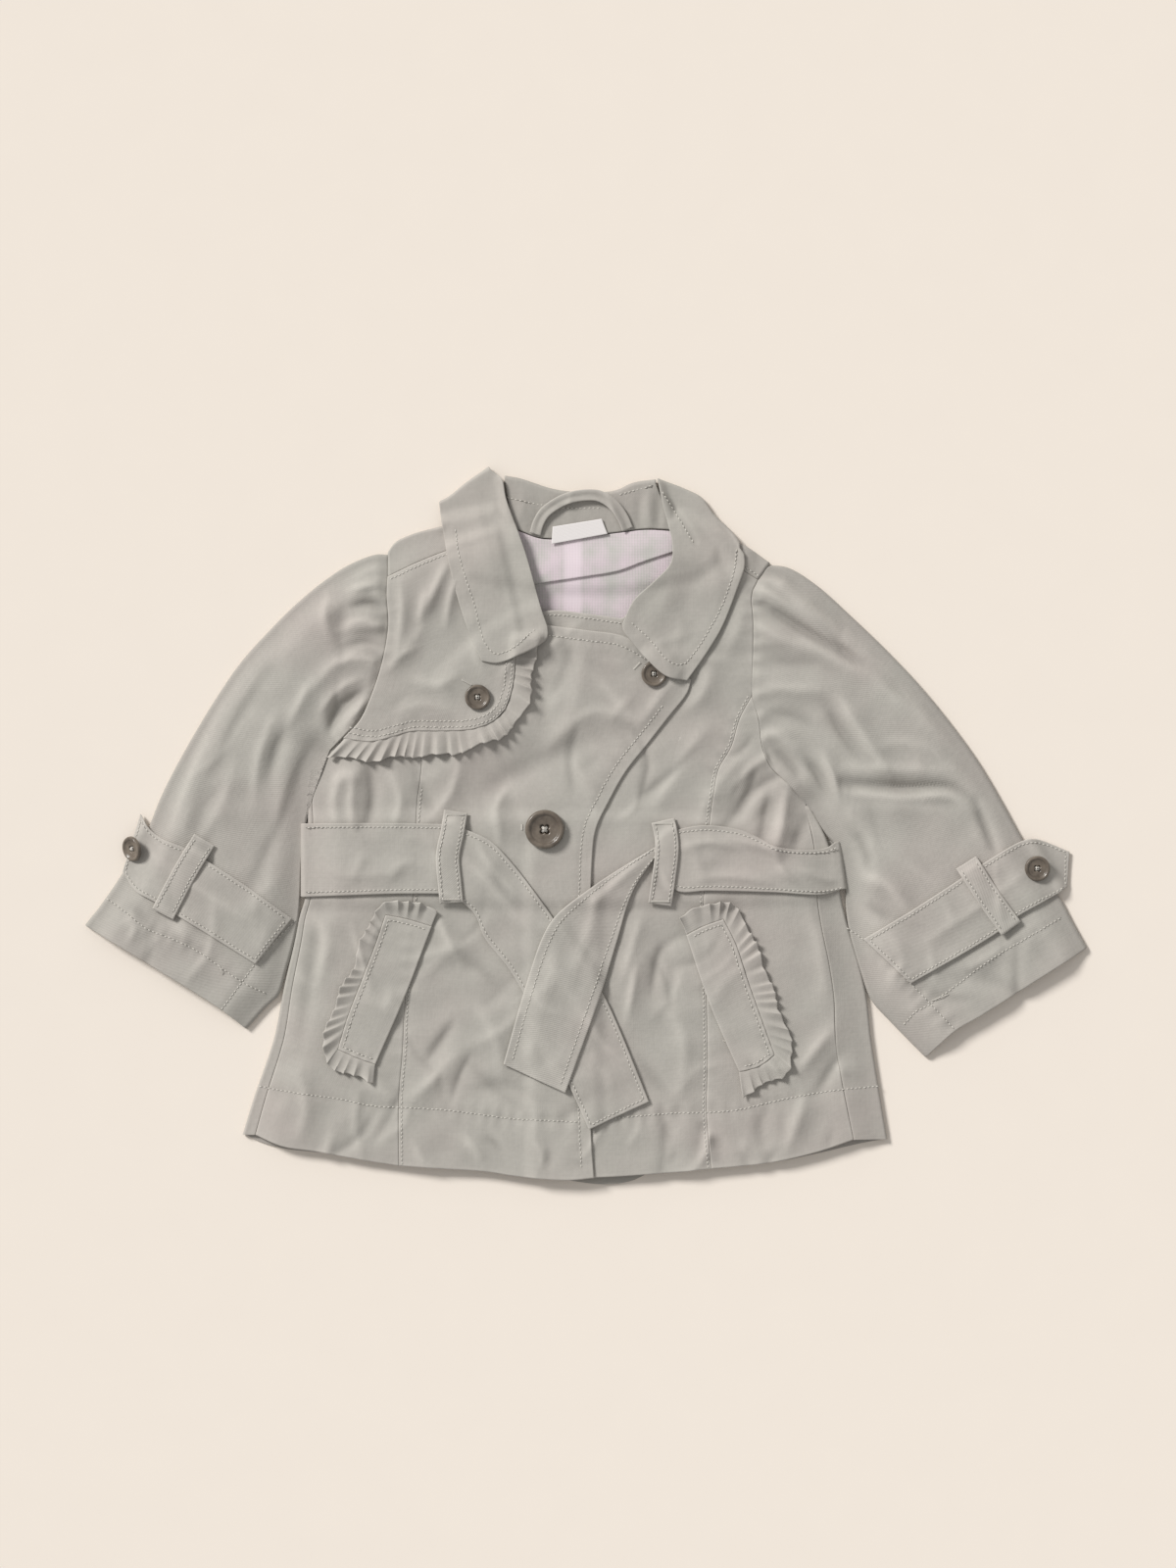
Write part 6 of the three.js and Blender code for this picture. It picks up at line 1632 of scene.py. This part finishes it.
front_top = front_under + CLOTH
over_top = front_top + LAYER * under_share
on_over = ("over_edge", "hem_right", "princess_right", "neck")
on_fronts = ("over_edge", "hem_right", "hem_left", "princess_right", "princess_left", "shoulder_left", "neck")
rows_on_fronts = [(front_stitches[name], over_top if name in on_over else front_top) for name in on_fronts]
rows_on_fronts.append((aside(Line(UNDER_NECK), -2.5, 0.6), front_top))
sewing("stitching_fronts", sewn_rows(rows_on_fronts))
flap_sewing = [(row, flap_top) for row in (*flap_rows, front_stitches["shoulder_right"])]
sewing("stitching_flap", sewn_rows(flap_sewing))
sewing("stitching_pockets", sewn_rows([(row, pocket_top - 0.15) for row in pocket_rows.values()]))
sewing("stitching_collar", sewn_rows([
    *[(row, leaf_top) for row in leaf_rows.values()],
    *[(traced(row), STAND_TOP + stand_relief) for row in (STAND_STITCH, STAND_STITCH_LEFT)],
]))
belt_sewing = [(row, belt_seat + CLOTH) for row in belt_rows]
for side in ("right", "left"):
    belt_sewing += [(row, tail_under[side] + CLOTH) for row in tail_rows[side]]
    belt_sewing += [(row, on_belt + LOOP_CLOTH + 0.1) for row in loop_rows[side]]
sewing("stitching_belt", sewn_rows(belt_sewing))
for side in ("right", "left"):
    sewing("stitching_cuff_" + side, sewn_rows([
        (traced(UNDERARM_SEAMS[side]), sleeve_top[side]),
        (traced(CUFF_STITCHES[side]), sleeve_top[side]),
        *[(row, strap_tops[side]) for row in strap_rows[side]],
        *[(row, keeper_tops[side]) for row in keeper_rows[side]],
    ]))
print("stitched pieces:", [name for name in pieces if name.startswith("stitching")])

# %% Buttonholes, bartacks and loose threads
LOOSE_THREADS = [
    ([(72.3, -113.9), (77, -115), (81, -117.6), (85.3, -119.1)], "body"),
    ([(173.2, -45.8), (177, -49), (180, -53), (185, -55.6)], "left"),
    ([(182.5, -93), (187, -91), (191.9, -89.4)], "left"),
    ([(-194, -74), (-192.6, -77), (-192.4, -79)], "right"),
]


def bars(centre, angle, length, top, count=7, radius=0.24):
    """A bartack or one side of a buttonhole: short threads side by side along a line."""
    heading = np.array([np.cos(angle), np.sin(angle)])
    across = np.array([-heading[1], heading[0]])
    middle = np.array(centre) + np.linspace(-0.5, 0.5, count)[:, None] * length * heading
    path = middle[:, None] + np.linspace(-0.6, 0.6, 4)[None, :, None] * across
    height = reading(top, path).mean(1)[:, None] + STITCH_ARCH[None] + 0.06
    return np.dstack([path, height]), radius, 1


def loose(points, top):
    chain = Line(points).at(np.linspace(0, 1, 12))
    lift = 0.35 + 0.9 * np.sin(np.linspace(0, np.pi, 12)) ** 2
    return np.dstack([chain[None], (reading(top, chain) + lift)[None]]), 0.18, 1.1


tops = {"body": body_top, **sleeve_top}
details = [loose(points, tops[carrier]) for points, carrier in LOOSE_THREADS]
details += [bars(spot, np.pi / 2, 2.6, over_top) for spot in ((-33.8, -1), (-10.9, -1))]
details += [bars((-62.9, 75.4), -0.5, 5.5, flap_top, 11), bars((27, 84.2), 0.8, 4.5, over_top, 9)]
for side, loop in loops.items():
    for share in (0.04, 0.96):
        spot = loop.place(np.array(share), np.array(0.5))
        details.append(bars(spot, 0, 9, on_belt + LOOP_CLOTH + 0.3, 18, 0.22))
sewing("loose_threads", details)
sewing("button_threads", [(np.concatenate(button_threads), 0.26, 1)])
print("details:", len(details))

# %% [markdown]
# ## Finishes
#
# Cotton twill is matt with a soft sheen. Its colour drifts a little between green-grey and pink-grey, it
# has thin pale and dark slubs along the thread, and worn edges are paler. A small class lets sockets be
# used in sums, so each finish reads as a formula.

# %% Sockets in sums
def operator(operation, swapped=False):
    """An operator that adds one Math node, its two values swapped where asked."""
    return lambda self, other: self.maths(operation, *((other, self) if swapped else (self, other)))


class Field:
    """The output of a node. Sums with it add Math nodes to the same finish."""

    def __init__(self, finish, node, output=0):
        self.finish, self.node, self.socket = finish, node, node.outputs[output]

    def out(self, output):
        return Field(self.finish, self.node, output)

    def maths(self, operation, *values):
        return self.finish.add("ShaderNodeMath", {"operation": operation}, dict(enumerate(values)))

    __add__, __radd__ = operator("ADD"), operator("ADD", swapped=True)
    __sub__, __rsub__ = operator("SUBTRACT"), operator("SUBTRACT", swapped=True)
    __mul__, __rmul__ = operator("MULTIPLY"), operator("MULTIPLY", swapped=True)
    __pow__ = operator("POWER")

    def clamp(self):
        return self.finish.add("ShaderNodeClamp", {}, {0: self})

    def sine(self):
        return self.maths("SINE", self)


class Finish:
    """One procedural material. add() makes any node from its type, its settings and its sockets."""

    def __init__(self, name):
        self.material = bpy.data.materials.new(name)
        self.material.use_nodes = True
        self.tree = self.material.node_tree
        self.tree.nodes.clear()

    def add(self, kind, settings=None, sockets=None, output=0):
        node = self.tree.nodes.new(kind)
        for key, value in (settings or {}).items():
            setattr(node, key, value)
        for key, value in (sockets or {}).items():
            if isinstance(value, Field):
                self.tree.links.new(value.socket, node.inputs[key])
            else:
                node.inputs[key].default_value = value
        return Field(self, node, output)

    def mix(self, a, b, share, blend="MIX"):
        settings = {"data_type": "RGBA", "blend_type": blend}
        return self.add("ShaderNodeMix", settings, {0: share, 6: a, 7: b}, 2)

    def noise(self, scale, detail=2, vector=None, roughness=0.5):
        vector = vector or self.coordinates("Object")
        sockets = {"Vector": vector, "Scale": scale, "Detail": detail, "Roughness": roughness}
        return self.add("ShaderNodeTexNoise", {}, sockets)

    def coordinates(self, kind):
        return self.add("ShaderNodeTexCoord").out(kind)

    def attribute(self, name):
        return self.add("ShaderNodeAttribute", {"attribute_name": name}).out("Fac")

    def surface(self, constants, varied, bump):
        height, distance, strength = bump
        sockets = {"Height": height, "Distance": distance, "Strength": strength}
        normal = self.add("ShaderNodeBump", {}, sockets)
        shader = self.add("ShaderNodeBsdfPrincipled", {}, {**constants, **varied, "Normal": normal})
        self.add_output(shader)
        return self.material

    def add_output(self, shader):
        node = self.tree.nodes.new("ShaderNodeOutputMaterial")
        self.tree.links.new(shader.socket, node.inputs["Surface"])


print("finishes can be written as sums")

# %% Twill and thread
PINK_TWILL, GREEN_TWILL = (0.452, 0.414, 0.382, 1), (0.438, 0.42, 0.382, 1)
WORN_TWILL = (0.62, 0.585, 0.54, 1)
WALE = TURN * 88


def twill_finish():
    finish = Finish("sage_twill")
    cut = finish.coordinates("UV")
    broad = finish.noise(16, 3)
    tint = finish.mix(GREEN_TWILL, PINK_TWILL, ((broad - 0.42) * 3.2).clamp())
    stretched = finish.add("ShaderNodeMapping", {}, {"Vector": cut, "Scale": (6, 150, 1)})
    upright = finish.add("ShaderNodeMapping", {}, {"Vector": cut, "Scale": (150, 8, 1)})
    slubs = finish.noise(1, 2, stretched) * 0.5 + finish.noise(1, 2, upright) * 0.5
    mottle = finish.noise(420, 2)
    value = 0.84 + slubs * 0.2 + mottle * 0.12
    # The attribute darkens the twill by the piece's own tone and by the painted shade and light of its
    # creases.
    value = value * finish.attribute("tone_and_shade")
    with_painted_shade = finish.add("ShaderNodeHueSaturation", {}, {"Color": tint, "Value": value})
    worn = (finish.attribute("edge") * (0.12 + finish.noise(240, 2) * 0.45)).clamp()
    colour = finish.mix(with_painted_shade, WORN_TWILL, worn)
    parts = finish.add("ShaderNodeSeparateXYZ", {}, {0: cut})
    rib = ((parts.out("X") + parts.out("Y")) * WALE).sine()
    height = rib * 0.22 + mottle * 0.9 + slubs * 0.8
    return finish.surface(
        {"Sheen Weight": 0.12, "Sheen Roughness": 0.5, "Specular IOR Level": 0.2},
        {"Base Color": colour, "Roughness": 0.82 + mottle * 0.1},
        (height, 0.0004, 0.35),
    )


def thread_finish():
    finish = Finish("pale_thread")
    strand = finish.noise(900, 1)
    pale = finish.mix((0.52, 0.5, 0.455, 1), (0.68, 0.65, 0.6, 1), strand)
    # The attribute darkens the short threads at the needle holes, which are painted shade.
    colour = finish.add("ShaderNodeHueSaturation", {}, {"Color": pale, "Value": finish.attribute("tone_and_shade")})
    return finish.surface(
        {"Sheen Weight": 0.1, "Specular IOR Level": 0.3},
        {"Base Color": colour, "Roughness": 0.6 + strand * 0.1},
        (strand, 0.0002, 0.3),
    )


twill, thread = twill_finish(), thread_finish()
print("finishes:", twill.name, thread.name)

# %% [markdown]
# ## Lining, label and buttons
#
# The lining is a fine check of pale pink threads on a grey-green ground, with one broad pale stripe beside
# its centre seam. Its lines are waves across the cloth. The label is bare white tape. The buttons are
# glossy and brown, with a faint cloud in the colour as on horn.

# %% Checked lining
LINING_GREY, LINING_PINK, LINING_STRIPE = (0.53, 0.52, 0.49, 1), (0.7, 0.6, 0.645, 1), (0.8, 0.69, 0.745, 1)
THREAD_PITCH, BAND_PITCH = 0.0015, 0.019


def lining_finish():
    finish = Finish("checked_lining")
    place = finish.coordinates("Object")
    parts = finish.add("ShaderNodeSeparateXYZ", {}, {0: place})
    waver = finish.noise(60, 1) * 0.0012
    x, y = parts.out("X") + waver, parts.out("Y") + waver
    bands = (x * (TURN / BAND_PITCH)).sine() * 0.5 + (y * (TURN / BAND_PITCH)).sine() * 0.4
    threads = (x * (TURN / THREAD_PITCH)).sine() * 0.3 + (y * (TURN / THREAD_PITCH)).sine() * 0.16
    blot = finish.noise(130, 2)
    share = (bands * 0.3 + threads * 0.55 + (blot - 0.5) * 1.6 + 0.5).clamp()
    check = finish.mix(LINING_GREY, LINING_PINK, share)
    stripe = (1.0 - ((x + 0.0065) * 180.0) ** 4.0).clamp()
    colour = finish.mix(check, LINING_STRIPE, stripe * 0.85)
    return finish.surface(
        {"Sheen Weight": 0.08, "Specular IOR Level": 0.25},
        {"Base Color": colour, "Roughness": 0.75 + blot * 0.1},
        (threads + blot, 0.0002, 0.3),
    )


def label_finish():
    finish = Finish("bare_label")
    cut = finish.coordinates("UV")
    parts = finish.add("ShaderNodeSeparateXYZ", {}, {0: cut})
    rib = (parts.out("Y") * (TURN * 140)).sine() * 0.5 + 0.5
    fibre = finish.noise(1400, 1)
    colour = finish.mix((0.74, 0.71, 0.7, 1), (0.85, 0.81, 0.8, 1), rib * 0.5 + fibre * 0.5)
    return finish.surface(
        {"Sheen Weight": 0.1},
        {"Base Color": colour, "Roughness": 0.6 + fibre * 0.1},
        (rib * 0.6 + fibre, 0.00015, 0.3),
    )


def button_finish():
    finish = Finish("brown_button")
    cloud = finish.noise(170, 3, roughness=0.6)
    speck = finish.noise(1200, 1)
    colour = finish.mix((0.085, 0.066, 0.05, 1), (0.2, 0.165, 0.13, 1), ((cloud - 0.3) * 2.2).clamp())
    return finish.surface(
        {"Coat Roughness": 0.12, "Specular IOR Level": 0.55, "IOR": 1.5},
        {"Base Color": colour, "Roughness": 0.27 + speck * 0.14, "Coat Weight": 0.25 + cloud * 0.2},
        (cloud * 0.6 + speck * 0.3, 0.00012, 0.25),
    )


def floor_finish():
    finish = Finish("pale_floor")
    paper = finish.noise(40, 2)
    colour = finish.mix((0.873, 0.8, 0.722, 1), (0.888, 0.815, 0.735, 1), paper)
    varied = {"Base Color": colour, "Roughness": 0.9 + paper * 0.05}
    return finish.surface({"Specular IOR Level": 0.1}, varied, (paper, 0.0001, 0.1))


lining, label_tape, brown_button = lining_finish(), label_finish(), button_finish()
print("finishes:", lining.name, label_tape.name, brown_button.name)

# %% Floor
FLOOR_HALF = 1.6
floor_line = np.linspace(-FLOOR_HALF, FLOOR_HALF, 9)
floor_places = np.stack(np.meshgrid(floor_line, floor_line), -1)
index = np.arange(81).reshape(9, 9)
floor_mesh = bpy.data.meshes.new("floor")
floor_mesh.from_pydata(
    np.dstack([floor_places, np.full((9, 9), -0.0002)]).reshape(-1, 3).tolist(), [],
    np.stack([index[:-1, :-1], index[:-1, 1:], index[1:, 1:], index[1:, :-1]], -1).reshape(-1, 4).tolist(),
)
floor = bpy.data.objects.new("floor", floor_mesh)
bpy.context.scene.collection.objects.link(floor)
floor.data.materials.append(floor_finish())
print("floor:", 2 * FLOOR_HALF, "m wide")

# %% [markdown]
# ## Dressing the frame
#
# Every piece rides on the frame's one body and names the slot that it takes its finish from. All but the
# sewing stand for the solid of their own name.

# %% Bodies, slots and finishes
slot_of = {name: "coat_cloth" for name in pieces}
slot_of.update({name: "lining" for name in pieces if name.startswith("lining")})
slot_of.update({name: "buttons" for name in pieces if name.startswith("button_")})
slot_of["button_threads"] = "coat_cloth"
slot_of["neck_label"] = "label"
finish_of = {"coat_cloth": twill, "lining": lining, "label": label_tape, "buttons": brown_button}
nodes = set(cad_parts)
for name, piece in pieces.items():
    is_thread = name.startswith("stitching") or name.endswith("threads")
    piece.data.materials.append(thread if is_thread else finish_of[slot_of[name]])
    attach(piece, "root")
    if name in nodes:
        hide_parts(name)
print("pieces without a solid:", sorted(set(pieces) - nodes))
print("solids without a piece:", sorted(nodes - set(pieces)))

# %% [markdown]
# ## Cut sizes
#
# Each sheet is listed with the size of the cloth that it was cut from: the width and the length in
# millimetres, and the area in square centimetres where the cut isn't a rectangle. Gathered strips were
# about half as long again as their seams, and the sleeves count all round.

# %% Sheets
CUTS = {
    "front_left": (165, 336, 325, "back"), "front_right": (169, 341, 345, "front_left"),
    "front_right_side": (88, 249, 137, "back"), "front_left_side": (79, 250, 137, "back"),
    "back": (366, 356, 920, "floor"), "lining_lower": (82, 54, 29, "back"),
    "lining_upper": (92, 30, 17, "lining_lower"), "collar_back": (135, 84, 78, "floor"),
    "neck_label": (30, 10.2, 2.7, "collar_back"), "hanger_loop": (12, 70, 4.4, "collar_back"),
    "storm_flap": (92, 110, 65, "front_right"), "storm_flap_ruffle": (11.5, 215, None, "front_right"),
    "pocket_welt_right": (24, 80, None, "front_right"), "pocket_welt_left": (23, 80, None, "front_left"),
    "pocket_ruffle_right": (10.5, 165, None, "front_right_side"),
    "pocket_ruffle_left": (11.5, 175, None, "front_left_side"),
    "collar_leaf_right": (48, 102, 43, "storm_flap"), "collar_leaf_left": (62, 104, 45, "front_left"),
    "belt_waist": (37.5, 465, None, "floor"), "belt_tail_right": (37.5, 165, None, "front_right"),
    "belt_tail_left": (37.5, 145, None, "belt_tail_right"),
    "belt_loop_right": (12.5, 52, None, "belt_waist"), "belt_loop_left": (12.5, 48, None, "belt_waist"),
    "sleeve_right": (240, 225, 405, "floor"), "sleeve_left": (270, 250, 495, "floor"),
    "cuff_strap_right": (32, 108, 31, "sleeve_right"), "cuff_strap_left": (36, 120, 37, "sleeve_left"),
    "cuff_keeper_right": (12.6, 50, None, "cuff_strap_right"),
    "cuff_keeper_left": (12.6, 46, None, "cuff_strap_left"),
}


def half_surface(piece):
    """The area of one side of a piece, in square centimetres."""
    return sum(face.area for face in piece.data.polygons) / 2 / MM**2 / 100


for name, (width, length, area, seat) in CUTS.items():
    flat = area or width * length / 100
    print(name, "is", round(half_surface(pieces[name]) / flat, 2), "of its cut")
print("triangles:", sum(len(piece.data.polygons) for piece in pieces.values()) * 2)
